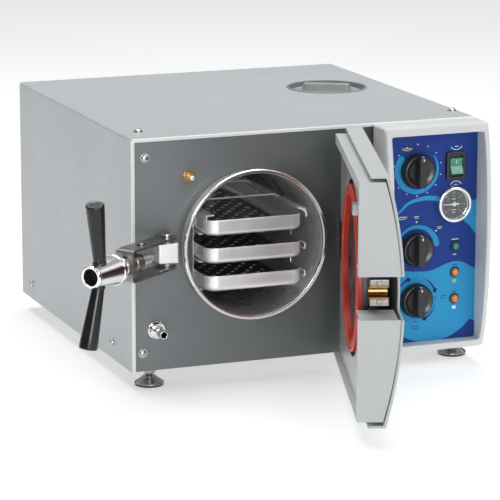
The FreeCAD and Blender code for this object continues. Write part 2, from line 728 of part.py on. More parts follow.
def handle_grips():
    """Two tapered handles raked towards the operator, the pair a little off plumb."""
    hub = join([along(104.05, 149, 18.4, 13.0), along(149, 153, 13.0, 12.4)])
    lean = math.radians(GRIP_LEAN)
    spin = math.radians(GRIP_SPIN)
    grips = []
    for side in (-1, 1):
        direction = Vector(side * math.cos(lean) * math.sin(spin), -math.sin(lean),
                           side * math.cos(lean) * math.cos(spin))
        root = Vector(PIVOT_X, PIVOT_Y - GRIP_R, AXIS_Z)
        grip = Part.makeCone(6.6, 10.6, GRIP_L, root, direction)
        edges = [e for e in grip.Edges if (e.CenterOfMass - root).Length > GRIP_L - 4]
        grip = grip.makeFillet(1.5, edges)
        grips.append(arm(grip.cut(hub)))
    return group(grips)


# ---------------------------------------------------------------- door
# The door is built closed and then turned open to its rest place. n is the distance in
# front of its inner plane and s the distance from its free edge.


def door(shape):
    turned = shape.copy()
    turned.rotate(Vector(HINGE_X, HINGE_Y, 0), UP, DOOR_REST_TURN)
    return turned


def dbox(s0, s1, n0, n1, z0, z1):
    return box(DOOR_X0 + s0, DOOR_X0 + s1, DOOR_Y0 - n1, DOOR_Y0 - n0, z0, z1)


def dcyl(n0, n1, r):
    return cyl(CHAMBER_X, DOOR_Y0 - n0, CHAMBER_Z, FRONT, r, n1 - n0)


def bowed(s0, s1, inner_n, edge_n, mid_n, z0, z1):
    """A block of the door whose front face is an arc from bottom to top."""
    x = DOOR_X0 + s0
    a = Vector(x, DOOR_Y0 - inner_n, z0)
    b = Vector(x, DOOR_Y0 - edge_n, z0)
    c = Vector(x, DOOR_Y0 - mid_n, (z0 + z1) / 2)
    d = Vector(x, DOOR_Y0 - edge_n, z1)
    e = Vector(x, DOOR_Y0 - inner_n, z1)
    wire = Part.Wire([Part.makeLine(a, b), Part.Arc(b, c, d).toShape(),
                      Part.makeLine(d, e), Part.makeLine(e, a)])
    return Part.Face(wire).extrude(Vector(s1 - s0, 0, 0))


def notch():
    """Clearance for the closing arm at the middle of the free edge."""
    return dbox(-5, NOTCH_S, -5, 80, NOTCH_Z0, NOTCH_Z1)


def hinge_gap():
    """Clearance round the hinge lugs behind the outer cover."""
    return dbox(262, 320, -5, 46.2, AXIS_Z - 25, AXIS_Z + 25)


def door_outer_cover():
    """Bowed outer shell: skin with top and bottom flanges."""
    w = DOOR_WALL
    outer = bowed(0, DOOR_L, DOOR_SPLIT_N, DOOR_EDGE_N, DOOR_MID_N, DOOR_Z0, DOOR_Z1)
    inner = bowed(-1, DOOR_L + 1, DOOR_SPLIT_N - 1, DOOR_EDGE_N - w, DOOR_MID_N - w,
                  DOOR_Z0 + w, DOOR_Z1 - w)
    shape = outer.cut([inner, notch()])
    return door(shape.cut(hinge_gap()))


def door_inner_cover():
    """Inner box of the door: four walls up to the skin and a flat rim round its mouth."""
    gap = 0.3
    z0 = DOOR_Z0 + DOOR_STEP
    z1 = DOOR_Z1 - DOOR_STEP
    n_edge = DOOR_EDGE_N - DOOR_WALL - gap
    n_mid = DOOR_MID_N - DOOR_WALL - gap
    outer = bowed(1.5, DOOR_L - 1.5, 0, n_edge, n_mid, z0, z1)
    inner = bowed(4.5, DOOR_L - 4.5, 3.0, n_edge + 5, n_mid + 5, z0 + 3, z1 - 3)
    mouth = dbox(12, DOOR_L + 5, -1, 5, z0 + 3, z1 - 11)
    hinge_side = dbox(DOOR_L - 12, DOOR_L + 5, -1, DOOR_SPLIT_N, z0 + 3, z1 - 11)
    frame = outer.cut([inner, mouth, hinge_side])
    frame = frame.cut([notch(), hinge_gap()])
    lining = [dbox(4.5, NOTCH_S + 0.4, 3, 44, NOTCH_Z1, NOTCH_Z1 + 3),
              dbox(4.5, NOTCH_S + 0.4, 3, 44, NOTCH_Z0 - 3, NOTCH_Z0)]
    return door(join([frame] + lining))


def door_inner_sheet():
    """Stainless inner plate round the door disc."""
    z0 = DOOR_Z0 + DOOR_STEP + 3.3
    z1 = DOOR_Z1 - DOOR_STEP - 3.3
    plate = dbox(4.8, DOOR_L - 4.8, 6.5, 8.0, z0, z1)
    blocked = dbox(-5, NOTCH_S + 1.5, -5, 80, NOTCH_Z0 - 3.4, NOTCH_Z1 + 3.4)
    drain_hole = cyl(DRAIN_X, DOOR_Y0, DRAIN_Z, FRONT, 13.0, 12)
    plate = plate.cut([dcyl(-5, 20, 101.0), blocked, hinge_gap(), drain_hole])
    s = SWITCH_PIN_X - DOOR_X0
    striker = dbox(s - 6, s + 6, -1.2, 6.5, SWITCH_PIN_Z - 6, SWITCH_PIN_Z + 6)
    return door(join([plate, striker]))


def door_disc():
    """Pressed steel disc that closes the chamber, with a turned-up edge."""
    plate = dcyl(13.05, 16, 99.0)
    lip = dcyl(9.5, 16, 99.0).cut(dcyl(9, 17, 97.6))
    boss = dcyl(16, 19.9, 22.0)
    return door(join([plate, lip, boss]))


def door_gasket():
    """Silicone ring that seals on the chamber's rim."""
    n0 = DOOR_Y0 - CHAMBER_FRONT_Y + 0.2
    profile = [(83.0, n0 + 1.5), (84.5, n0), (95.5, n0), (97.0, n0 + 1.5), (97.0, 13.0), (83.0, 13.0)]
    return door(revolve_front(CHAMBER_X, CHAMBER_Z, [(r, DOOR_Y0 - n) for r, n in profile]))


SLOT_R = 8.0


def door_bridge():
    """Steel bar across the door: slotted end block, bar and hinge knuckle."""
    block = dbox(25, 47.5, 15, 36, AXIS_Z - 15, AXIS_Z + 15)
    edges = [e for e in block.Edges if abs(e.tangentAt(0).y) > 0.9 and e.CenterOfMass.x < DOOR_X0 + 30]
    block = block.makeFillet(1.5, edges)
    bar = dbox(46, 262, 20, 34, AXIS_Z - 15, AXIS_Z + 15)
    web = dbox(258, 276, 24, 40, AXIS_Z - 14, AXIS_Z + 14)
    knuckle = cyl(HINGE_X, HINGE_Y, AXIS_Z - 14.5, UP, 6.0, 29)
    shape = join([block, bar, web, knuckle])
    slot = join([dbox(20, 35.5, 10, 40, AXIS_Z - SLOT_R, AXIS_Z + SLOT_R),
                 cyl(PIVOT_X, DOOR_Y0 - 10, AXIS_Z, FRONT, SLOT_R, 30)])
    shape = shape.cut([slot, cyl(HINGE_X, HINGE_Y, AXIS_Z - 20, UP, 4.05, 40)])
    hole = cyl(CHAMBER_X, DOOR_Y0 - 15, AXIS_Z, FRONT, 7.05, 25)
    return door(shape.cut(hole))


def bridge_seat():
    """Bronze liner in the bar's slot for the foot's pilot."""
    outer = join([dbox(26, 35.5, 15, 36, AXIS_Z - SLOT_R, AXIS_Z + SLOT_R),
                  cyl(PIVOT_X, DOOR_Y0 - 15, AXIS_Z, FRONT, SLOT_R, 21)])
    inner = join([dbox(20, 35.5, 10, 40, AXIS_Z - 5.6, AXIS_Z + 5.6),
                  cyl(PIVOT_X, DOOR_Y0 - 10, AXIS_Z, FRONT, 5.6, 30)])
    return door(outer.cut(inner))


def door_stud():
    """Centre bolt that hangs the disc on the bar, with its nut."""
    bolt = cyl(CHAMBER_X, DOOR_Y0 - 19.95, AXIS_Z, FRONT, 7.0, 24)
    nut = hexagon(CHAMBER_X, DOOR_Y0 - 34.05, AXIS_Z, FRONT, 19.0, 8)
    return door(join([bolt, nut]))


def hinge_bracket():
    """Base on the front panel with two lugs that hold the door's hinge pin."""
    base = box(262, 299, PANEL_Y - 4, PANEL_Y - 0.05, AXIS_Z - 36, AXIS_Z + 36)
    parts = [base]
    for z in (AXIS_Z + 15.2, AXIS_Z - 22.2):
        parts.append(box(HINGE_X - 6, HINGE_X + 6, HINGE_Y, PANEL_Y - 1, z, z + 7))
        parts.append(cyl(HINGE_X, HINGE_Y, z, UP, 6.0, 7))
    return join(parts).cut(cyl(HINGE_X, HINGE_Y, AXIS_Z - 40, UP, 4.0, 80))


def hinge_pin():
    return join([cyl(HINGE_X, HINGE_Y, AXIS_Z - 22.5, UP, 4.0, 45),
                 cyl(HINGE_X, HINGE_Y, AXIS_Z + 22.2, UP, 5.5, 2.2)])


NODES = {
    "cabinet_cover": cabinet_cover,
    "base_plate": base_plate,
    "rear_panel": rear_panel,
    "front_panel": front_panel,
    "panel_screws": panel_screws,
    "foot_pads": foot_pads,
    "foot_stems": foot_stems,
    "control_bezel": control_bezel,
    "control_plate": control_plate,
    "timer_knob": lambda: knob(KNOB_Z[0]),
    "thermostat_knob": lambda: knob(KNOB_Z[1]),
    "valve_knob": lambda: knob(KNOB_Z[2]),
    "timer_unit": lambda: shaft_unit(KNOB_Z[0], 46, 50, 48),
    "thermostat_unit": lambda: shaft_unit(KNOB_Z[1], 40, 40, 40),
    "valve_unit": valve_unit,
    "gauge_case": gauge_case,
    "gauge_dial": gauge_dial,
    "gauge_needle": gauge_needle,
    "gauge_lens": gauge_lens,
    "switch_housing": switch_housing,
    "power_rocker": power_rocker,
    "lamp_bodies": lamp_bodies,
    "lamp_lens_green": lambda: lamp_lens(LAMP_Z[0]),
    "lamp_lenses_orange": lambda: group([lamp_lens(z) for z in LAMP_Z[1:]]),
    "chamber_shell": chamber_shell,
    "chamber_rim": chamber_rim,
    "heater_bands": heater_bands,
    "insulation_jacket": insulation_jacket,
    "chamber_saddles": chamber_saddles,
    "tray_rack": tray_rack,
    "tray_1": lambda: tray(TRAY_TOPS[0]),
    "tray_2": lambda: tray(TRAY_TOPS[1]),
    "tray_3": lambda: tray(TRAY_TOPS[2]),
    "fill_port_dish": fill_port_dish,
    "fill_cap": fill_cap,
    "water_reservoir": water_reservoir,
    "water_pipes": water_pipes,
    "safety_valve": safety_valve,
    "power_inlet": power_inlet,
    "drain_valve": drain_valve,
    "door_switch_socket": door_switch_socket,
    "door_switch_plunger": door_switch_plunger,
    "pivot_block": pivot_block,
    "pivot_screws": pivot_screws,
    "closing_yoke": closing_yoke,
    "pressure_foot": pressure_foot,
    "spindle": spindle,
    "handle_hub": handle_hub,
    "handle_grips": handle_grips,
    "door_outer_cover": door_outer_cover,
    "door_inner_cover": door_inner_cover,
    "door_inner_sheet": door_inner_sheet,
    "door_disc": door_disc,
    "door_gasket": door_gasket,
    "door_bridge": door_bridge,
    "bridge_seat": bridge_seat,
    "door_stud": door_stud,
    "hinge_bracket": hinge_bracket,
    "hinge_pin": hinge_pin,
}


def main():
    os.makedirs("parts", exist_ok=True)
    for name, make in NODES.items():
        save(name, make())


main()
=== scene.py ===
import math

import bmesh
import bpy
from mathutils import Matrix, Vector


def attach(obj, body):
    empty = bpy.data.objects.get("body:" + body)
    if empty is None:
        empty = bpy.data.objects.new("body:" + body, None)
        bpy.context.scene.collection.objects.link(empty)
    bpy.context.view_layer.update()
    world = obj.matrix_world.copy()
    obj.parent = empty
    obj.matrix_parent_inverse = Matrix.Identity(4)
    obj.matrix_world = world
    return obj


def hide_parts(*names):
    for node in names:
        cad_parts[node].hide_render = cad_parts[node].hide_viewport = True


# Looks of the benchtop autoclave. Pieces are laid out in the cabinet's own frame in
# millimetres: x from its left face, y from its front edge back, z from its underside.
# The door and the closing arm are laid out closed and then turned to where they rest.

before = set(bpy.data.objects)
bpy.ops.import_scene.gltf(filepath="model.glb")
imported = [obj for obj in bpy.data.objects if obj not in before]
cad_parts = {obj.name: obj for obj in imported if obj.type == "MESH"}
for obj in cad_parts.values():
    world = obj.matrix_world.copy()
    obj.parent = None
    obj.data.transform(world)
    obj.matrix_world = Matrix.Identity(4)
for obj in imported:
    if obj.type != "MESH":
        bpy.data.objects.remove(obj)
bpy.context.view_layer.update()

MM = 0.001
CABINET_W = 440.0
CABINET_D = 440.0
CABINET_H = 279.0
FOOT_DROP = 21.0
PANEL_Y = 3.0

CHAMBER_X = 150.0
CHAMBER_Z = 146.0
CHAMBER_R = 85.5
CHAMBER_FRONT_Y = -14.8
CHAMBER_BACK_Y = 340.0
RIM_R = 90.5

BEZEL = (304.6, 441.0, 0.0, 278.0)
WINDOW = (312.6, 433.8, 9.8, 267.0)
PLATE_FACE_Y = -20.2
KNOB_X = 353.2
KNOB_Z = (222.2, 126.0, 63.0)
ROW2_X = 404.5
GAUGE_X = 401.8
LAMP_X = 405.6
GAUGE_Z = 178.0
SWITCH_Z = 224.7
LAMP_Z = (125.7, 93.5, 60.6)

AXIS_Z = 145.5
PIVOT = (38.5, -11.0)
ARM_TURN_DEG = -53.7
HINGE = (278.3, -51.1)
DOOR_TURN_DEG = 71.7
DOOR_X0 = 3.0
DOOR_Y0 = -12.0
DOOR_L = 298.0
DOOR_Z0 = -1.5
DOOR_Z1 = 280.5
DOOR_STEP = 7.1
NOTCH_Z = (120.5, 169.0)

TRAY_TOPS = (178.5, 145.0, 111.5)
TRAY_Y0 = -12.0
TRAY_LEN = 285.0
CAP = (356.5, 263.0)
CAP_R = 51.5
DRAIN = (30.0, 50.0)
SWITCH_PIN = (71.6, 230.6)
FEET = ((28.0, 22.0), (424.0, 22.0), (50.0, 410.0), (390.0, 410.0))

UP = Vector((0, 0, 1))
BACK = Vector((0, 1, 0))
FRONT = Vector((0, -1, 0))
RIGHT = Vector((1, 0, 0))
STILL = Matrix.Identity(4)


def turn_about(x, y, degrees):
    there = Matrix.Translation((x, y, 0))
    back = Matrix.Translation((-x, -y, 0))
    return there @ Matrix.Rotation(math.radians(degrees), 4, "Z") @ back


DOOR = turn_about(*HINGE, DOOR_TURN_DEG)
ARM = turn_about(*PIVOT, ARM_TURN_DEG)


def at(p):
    """A cabinet point in millimetres as a point of the frame in metres."""
    return Vector(((p[0] - FEET[0][0]) * MM, (p[1] - FEET[0][1]) * MM, (p[2] + FOOT_DROP) * MM))


# ---------------------------------------------------------------- mesh tools


class Shape:
    """Points in millimetres, the faces between them and each face's material number."""

    def __init__(self):
        self.points = []
        self.faces = []
        self.mats = []

    def add(self, points, faces, mat=0):
        base = len(self.points)
        self.points += [Vector(p) for p in points]
        self.faces += [tuple(base + i for i in f) for f in faces]
        self.mats += [mat] * len(faces)
        return self

    def join(self, *others):
        for other in others:
            base = len(self.points)
            self.points += other.points
            self.faces += [tuple(base + i for i in f) for f in other.faces]
            self.mats += other.mats
        return self

    def moved(self, matrix):
        out = Shape()
        out.points = [matrix @ p for p in self.points]
        out.faces = list(self.faces)
        out.mats = list(self.mats)
        return out

    def painted(self, mat):
        self.mats = [mat] * len(self.faces)
        return self


def rounded(points, steps=5, closed=True):
    """Each corner (x, y, r) of an outline becomes an arc of radius r."""
    out = []
    n = len(points)
    for i, corner in enumerate(points):
        r = corner[2] if len(corner) > 2 else 0.0
        b = Vector(corner[:2])
        if r <= 0 or (not closed and i in (0, n - 1)):
            out.append(tuple(b))
            continue
        u = (Vector(points[i - 1][:2]) - b).normalized()
        v = (Vector(points[(i + 1) % n][:2]) - b).normalized()
        half = u.angle(v) / 2
        start = b + u * (r / math.tan(half))
        end = b + v * (r / math.tan(half))
        centre = b + (u + v).normalized() * (r / math.sin(half))
        a0 = math.atan2(*(start - centre).yx)
        a1 = math.atan2(*(end - centre).yx)
        sweep = (a1 - a0 + math.pi) % (2 * math.pi) - math.pi
        for k in range(steps + 1):
            a = a0 + sweep * k / steps
            out.append((centre.x + r * math.cos(a), centre.y + r * math.sin(a)))
    return out


def across(axis):
    """A unit axis and two directions square to it and to each other."""
    axis = Vector(axis).normalized()
    side = UP if abs(axis.z) < 0.5 else RIGHT
    side = (side - axis * side.dot(axis)).normalized()
    return axis, side, axis.cross(side)


def circle(centre, axis, h, r_of, count):
    """Points round an axis at height h, where r_of gives the radius at each angle."""
    axis, side, other = across(axis)
    ring = []
    for i in range(count):
        a = 2 * math.pi * i / count
        ring.append(Vector(centre) + axis * h + (side * math.cos(a) + other * math.sin(a)) * r_of(a))
    return ring


def loft(rings, ends=True, loop=False, mat=0):
    """Skin between rings of the same number of points."""
    n = len(rings[0])
    faces = []
    spans = len(rings) if loop else len(rings) - 1
    for i in range(spans):
        a = i * n
        b = (i + 1) % len(rings) * n
        for j in range(n):
            k = (j + 1) % n
            faces.append((a + j, a + k, b + k, b + j))
    if ends and not loop:
        faces.append(tuple(range(n))[::-1])
        faces.append(tuple((len(rings) - 1) * n + j for j in range(n)))
    return Shape().add([p for ring in rings for p in ring], faces, mat)


def prism(outline, place, h0, h1, mat=0):
    return loft([[place(a, b, h) for a, b in outline] for h in (h0, h1)], mat=mat)


def in_front(a, b, h):
    return (a, h, b)


def in_side(a, b, h):
    return (h, a, b)


def in_top(a, b, h):
    return (a, b, h)


def box(a0, a1, b0, b1):
    return [(a0, b0), (a1, b0), (a1, b1), (a0, b1)]


def soft_box(a0, a1, b0, b1, r, steps):
    return rounded([(a, b, r) for a, b in box(a0, a1, b0, b1)], steps)


def block(x0, x1, y0, y1, z0, z1, mat=0):
    return prism(box(x0, x1, y0, y1), in_top, z0, z1, mat)


def lathe(centre, axis, profile, count=96, closed=False, mat=0):
    """Turn (radius, height) points about an axis. A radius of zero closes the end."""
    points = []
    rows = []
    for r, h in profile:
        if r < 1e-6:
            rows.append([len(points)] * count)
            points.append(Vector(centre) + Vector(axis).normalized() * h)
            continue
        rows.append(list(range(len(points), len(points) + count)))
        points += circle(centre, axis, h, lambda a: r, count)
    faces = []
    pairs = list(zip(rows, rows[1:]))
    if closed:
        pairs.append((rows[-1], rows[0]))
    for low, high in pairs:
        for i in range(count):
            j = (i + 1) % count
            face = []
            for index in (low[i], low[j], high[j], high[i]):
                if index not in face:
                    face.append(index)
            if len(face) > 2:
                faces.append(tuple(face))
    if not closed:
        for row in (rows[0], rows[-1]):
            if row[0] != row[1]:
                faces.append(tuple(row))
    return Shape().add(points, faces, mat)


def ring_of(centre, axis, outer, inner, h0, h1, edge=0.3, count=96, mat=0):
    """A washer-like ring with softened edges."""
    corners = [(inner, h0, edge), (outer, h0, edge), (outer, h1, edge), (inner, h1, edge)]
    return lathe(centre, axis, rounded(corners, 3), count, closed=True, mat=mat)


def disc_of(centre, axis, r, h0, h1, edge=0.5, count=96, mat=0):
    corners = [(0, h0), (r, h0, edge), (r, h1, edge), (0, h1)]
    return lathe(centre, axis, rounded(corners, 3, closed=False), count, mat=mat)


def rod(centre, axis, r, h0, h1, count=48, mat=0):
    """A plain cylinder from h0 to h1 along an axis."""
    return lathe(centre, axis, [(0, h0), (r, h0), (r, h1), (0, h1)], count, mat=mat)


def hexagon(centre, axis, flats, h0, h1, bore=0.5):
    """A nut: hex prism whose corners are chamfered by a cone."""
    rim = flats / 2 * 1.02
    chamfer = (flats / math.sqrt(3) - flats / 2) * 0.55

    def hex_r(a):
        return flats / 2 / math.cos((a + math.pi / 6) % (math.pi / 3) - math.pi / 6)

    def bore_r(a):
        return bore

    def chamfered_r(a):
        return min(hex_r(a), rim)

    levels = [(h0, bore_r), (h0, chamfered_r), (h0 + chamfer, hex_r), (h1 - chamfer, hex_r),
              (h1, chamfered_r), (h1, bore_r)]
    return loft([circle(centre, axis, h, r_of, 48) for h, r_of in levels], loop=bore > 0.5)


def thread(centre, axis, r, h0, h1, pitch=1.5, depth=0.55, count=36):
    """A helical screw thread, closed at both ends."""
    steps = max(2, int((h1 - h0) / pitch * 8))
    rings = []
    for k in range(steps + 1):
        h = h0 + (h1 - h0) * k / steps

        def wave_r(a):
            return r - depth * abs(2 * ((h / pitch - a / (2 * math.pi)) % 1.0) - 1)

        rings.append(circle(centre, axis, h, wave_r, count))
    return loft(rings)


def tube(path, r, count=12, mat=0):
    """A round wire along a line of points."""
    path = [Vector(p) for p in path]
    rings = []
    normal = None
    for i, p in enumerate(path):
        ahead = path[min(i + 1, len(path) - 1)] - path[max(i - 1, 0)]
        ahead.normalize()
        if normal is None:
            normal = ahead.orthogonal().normalized()
        normal = (normal - ahead * normal.dot(ahead)).normalized()
        other = ahead.cross(normal)
        ring = []
        for k in range(count):
            a = 2 * math.pi * k / count
            ring.append(p + (normal * math.cos(a) + other * math.sin(a)) * r)
        rings.append(ring)
    return loft(rings, mat=mat)


def bent(points, radius, steps=6):
    """A path in space whose inner corners are rounded."""
    points = [Vector(p) for p in points]
    out = [points[0]]
    for a, b, c in zip(points, points[1:], points[2:]):
        u = (a - b).normalized()
        v = (c - b).normalized()
        for k in range(steps + 1):
            t = k / steps
            start = b + u * radius
            end = b + v * radius
            out.append(start * (1 - t) ** 2 + b * 2 * t * (1 - t) + end * t ** 2)
    out.append(points[-1])
    return out


def mesh_from(shape, place=None):
    mesh = bpy.data.meshes.new("shape")
    points = [place(p) for p in shape.points] if place else shape.points
    mesh.from_pydata([tuple(p) for p in points], [], shape.faces)
    mesh.polygons.foreach_set("material_index", shape.mats)
    work = bmesh.new()
    work.from_mesh(mesh)
    bmesh.ops.recalc_face_normals(work, faces=work.faces)
    work.to_mesh(mesh)
    work.free()
    return mesh


def carve(base, *tools, operation="DIFFERENCE"):
    """Cut each tool out of the base, or keep only what both hold."""
    scene = bpy.context.scene
    target = bpy.data.objects.new("carved", mesh_from(base))
    scene.collection.objects.link(target)
    for tool in tools:
        cutter = bpy.data.objects.new("cutter", mesh_from(tool))
        scene.collection.objects.link(cutter)
        change = target.modifiers.new("cut", "BOOLEAN")
        change.operation = operation
        change.solver = "EXACT"
        change.object = cutter
        graph = bpy.context.evaluated_depsgraph_get()
        result = bpy.data.meshes.new_from_object(target.evaluated_get(graph))
        target.modifiers.clear()
        target.data = result
        bpy.data.objects.remove(cutter)
    out = Shape()
    mesh = target.data
    faces = [tuple(f.vertices) for f in mesh.polygons]
    out.add([v.co.copy() for v in mesh.vertices], faces)
    bpy.data.objects.remove(target)
    return out


def soften(obj, width, segments, degrees):
    """Round the edges that are sharper than an angle."""
    soft = obj.modifiers.new("soft_edges", "BEVEL")
    soft.width = width * MM
    soft.segments = segments
    soft.limit_method = "ANGLE"
    soft.angle_limit = math.radians(degrees)


def piece(name, shape, looks, body, node=None, turn=STILL, bevel=0.0, segments=3,
          sharp=38.0):
    """Make one object of the visual model, ride it on its body and let it stand in for a node."""
    mesh = mesh_from(shape, lambda p: at(turn @ p))
    mesh.name = name
    for look in looks.split():
        mesh.materials.append(M[look])
    mesh.shade_smooth()
    mesh.set_sharp_from_angle(angle=math.radians(sharp))
    obj = bpy.data.objects.new(name, mesh)
    bpy.context.scene.collection.objects.link(obj)
    if bevel:
        soften(obj, bevel, segments, 35)
    flat = obj.modifiers.new("flat_faces", "WEIGHTED_NORMAL")
    flat.keep_sharp = True
    flat.weight = 60
    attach(obj, body)
    if node:
        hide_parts(node)
    return obj


# ---------------------------------------------------------------- material tools


def new_material(name, color, roughness, metallic=0.0, **sockets):
    material = bpy.data.materials.new(name)
    material.use_nodes = True
    shader = material.node_tree.nodes["Principled BSDF"]
    shader.inputs["Base Color"].default_value = (*color, 1.0)
    shader.inputs["Roughness"].default_value = roughness
    shader.inputs["Metallic"].default_value = metallic
    for key, value in sockets.items():
        shader.inputs[key.replace("_", " ")].default_value = value
    material.diffuse_color = (*color, 1.0)
    return material


def add_node(material, kind, values=None, **settings):
    node = material.node_tree.nodes.new("ShaderNode" + kind)
    for key, value in settings.items():
        setattr(node, key, value)
    for key, value in (values or {}).items():
        if hasattr(value, "is_output"):
            material.node_tree.links.new(value, node.inputs[key])
        else:
            node.inputs[key].default_value = value
    return node


def wire(material, socket, name):
    shader = material.node_tree.nodes["Principled BSDF"]
    material.node_tree.links.new(socket, shader.inputs[name])


def place_coords(material, stretch=(1.0, 1.0, 1.0)):
    coords = add_node(material, "TexCoord")
    scaled = add_node(material, "Mapping", {"Vector": coords.outputs["Object"], "Scale": stretch})
    return scaled.outputs["Vector"]


def turned_coords(material, centre, axis):
    """Coordinates that change with radius and height about an axis, and not round it."""
    coords = add_node(material, "TexCoord")
    centre = at(centre)
    away = add_node(material, "VectorMath", {0: coords.outputs["Object"], 1: centre},
                    operation="SUBTRACT").outputs["Vector"]
    height = add_node(material, "VectorMath", {0: away, 1: axis},
                      operation="DOT_PRODUCT").outputs["Value"]
    along = add_node(material, "VectorMath", {0: axis, "Scale": height},
                     operation="SCALE").outputs["Vector"]
    out = add_node(material, "VectorMath", {0: away, 1: along}, operation="SUBTRACT").outputs["Vector"]
    radius = add_node(material, "VectorMath", {0: out}, operation="LENGTH").outputs["Value"]
    return add_node(material, "CombineXYZ", {"X": radius, "Y": height}).outputs["Vector"]


def noise(material, vector, scale, detail=3.0, roughness=0.55):
    return add_node(material, "TexNoise", {"Vector": vector, "Scale": scale, "Detail": detail,
                                           "Roughness": roughness}).outputs["Fac"]


def remap(material, value, low, high, to_low, to_high):
    return add_node(material, "MapRange", {"Value": value, "From Min": low, "From Max": high,
                                           "To Min": to_low, "To Max": to_high}).outputs["Result"]


def tint(material, factor, a, b):
    mixed = add_node(material, "Mix", data_type="RGBA")
    material.node_tree.links.new(factor, mixed.inputs[0])
    mixed.inputs[6].default_value = (*a, 1.0)
    mixed.inputs[7].default_value = (*b, 1.0)
    return mixed.outputs[2]


def bump(material, height, distance_mm, strength=1.0, under=None):
    values = {"Height": height, "Distance": distance_mm * MM, "Strength": strength}
    if under:
        values["Normal"] = under
    return add_node(material, "Bump", values).outputs["Normal"]


def shade(color, factor):
    return tuple(min(1.0, c * factor) for c in color)


def coated(name, color, roughness, grain=900.0, depth=0.03, spread=0.04, blotch=14.0,
           shift=0.06, **sockets):
    """Paint or moulded plastic: fine grain, slow colour drift and uneven gloss."""
    material = new_material(name, color, roughness, **sockets)
    vector = place_coords(material)
    slow = noise(material, vector, blotch, 4.0)
    wire(material, tint(material, remap(material, slow, 0.3, 0.7, 0.0, 1.0),
                        shade(color, 1 - shift / 2), shade(color, 1 + shift / 2)), "Base Color")
    wear = noise(material, vector, blotch * 9, 5.0)
    wire(material, remap(material, wear, 0.3, 0.7, roughness - spread, roughness + spread), "Roughness")
    wire(material, bump(material, noise(material, vector, grain, 2.0), depth), "Normal")
    return material


def metal(name, color, roughness, vector_of, scale, depth=0.01, spread=0.06, shift=0.12,
          smudge=0.05, metallic=1.0, **sockets):
    """Metal with fine working lines and faint smudges."""
    material = new_material(name, color, roughness, metallic, **sockets)
    lines = noise(material, vector_of(material), scale, 4.0, 0.7)
    wire(material, tint(material, remap(material, lines, 0.3, 0.7, 0.0, 1.0),
                        shade(color, 1 - shift / 2), shade(color, 1 + shift / 2)), "Base Color")
    smears = noise(material, place_coords(material), 45.0, 4.0)
    uneven = add_node(material, "Math", {0: remap(material, lines, 0.3, 0.7, -spread, spread),
                                         1: remap(material, smears, 0.35, 0.7, 0.0, smudge)},
                      operation="ADD").outputs["Value"]
    total = add_node(material, "Math", {0: uneven, 1: roughness}, operation="ADD", use_clamp=True)
    wire(material, total.outputs["Value"], "Roughness")
    if depth:
        wire(material, bump(material, lines, depth), "Normal")
    return material


def brushed(stretch):
    return lambda material: place_coords(material, stretch)


def turned(centre, axis):
    return lambda material: turned_coords(material, centre, axis)


EVEN = brushed((1.0, 1.0, 1.0))
ARM_AXIS = Matrix.Rotation(math.radians(ARM_TURN_DEG), 3, "Z") @ FRONT
ARM_CENTRE = (PIVOT[0], PIVOT[1], AXIS_Z)
DOOR_AXIS = Matrix.Rotation(math.radians(DOOR_TURN_DEG), 3, "Z") @ FRONT
DISC_CENTRE = DOOR @ Vector((CHAMBER_X, DOOR_Y0, CHAMBER_Z))
CHAMBER_CENTRE = (CHAMBER_X, 0.0, CHAMBER_Z)

LIGHT_GREY = (0.50, 0.52, 0.53)
MOULDED_WHITE = (0.72, 0.73, 0.73)
PANEL_GREY = (0.145, 0.158, 0.163)
DEEP_BLUE = (0.010, 0.047, 0.28)
SKY_BLUE = (0.026, 0.34, 0.67)
BLACK = (0.016, 0.016, 0.018)
SILVER = (0.90, 0.90, 0.905)
GASKET_RED = (0.58, 0.030, 0.009)

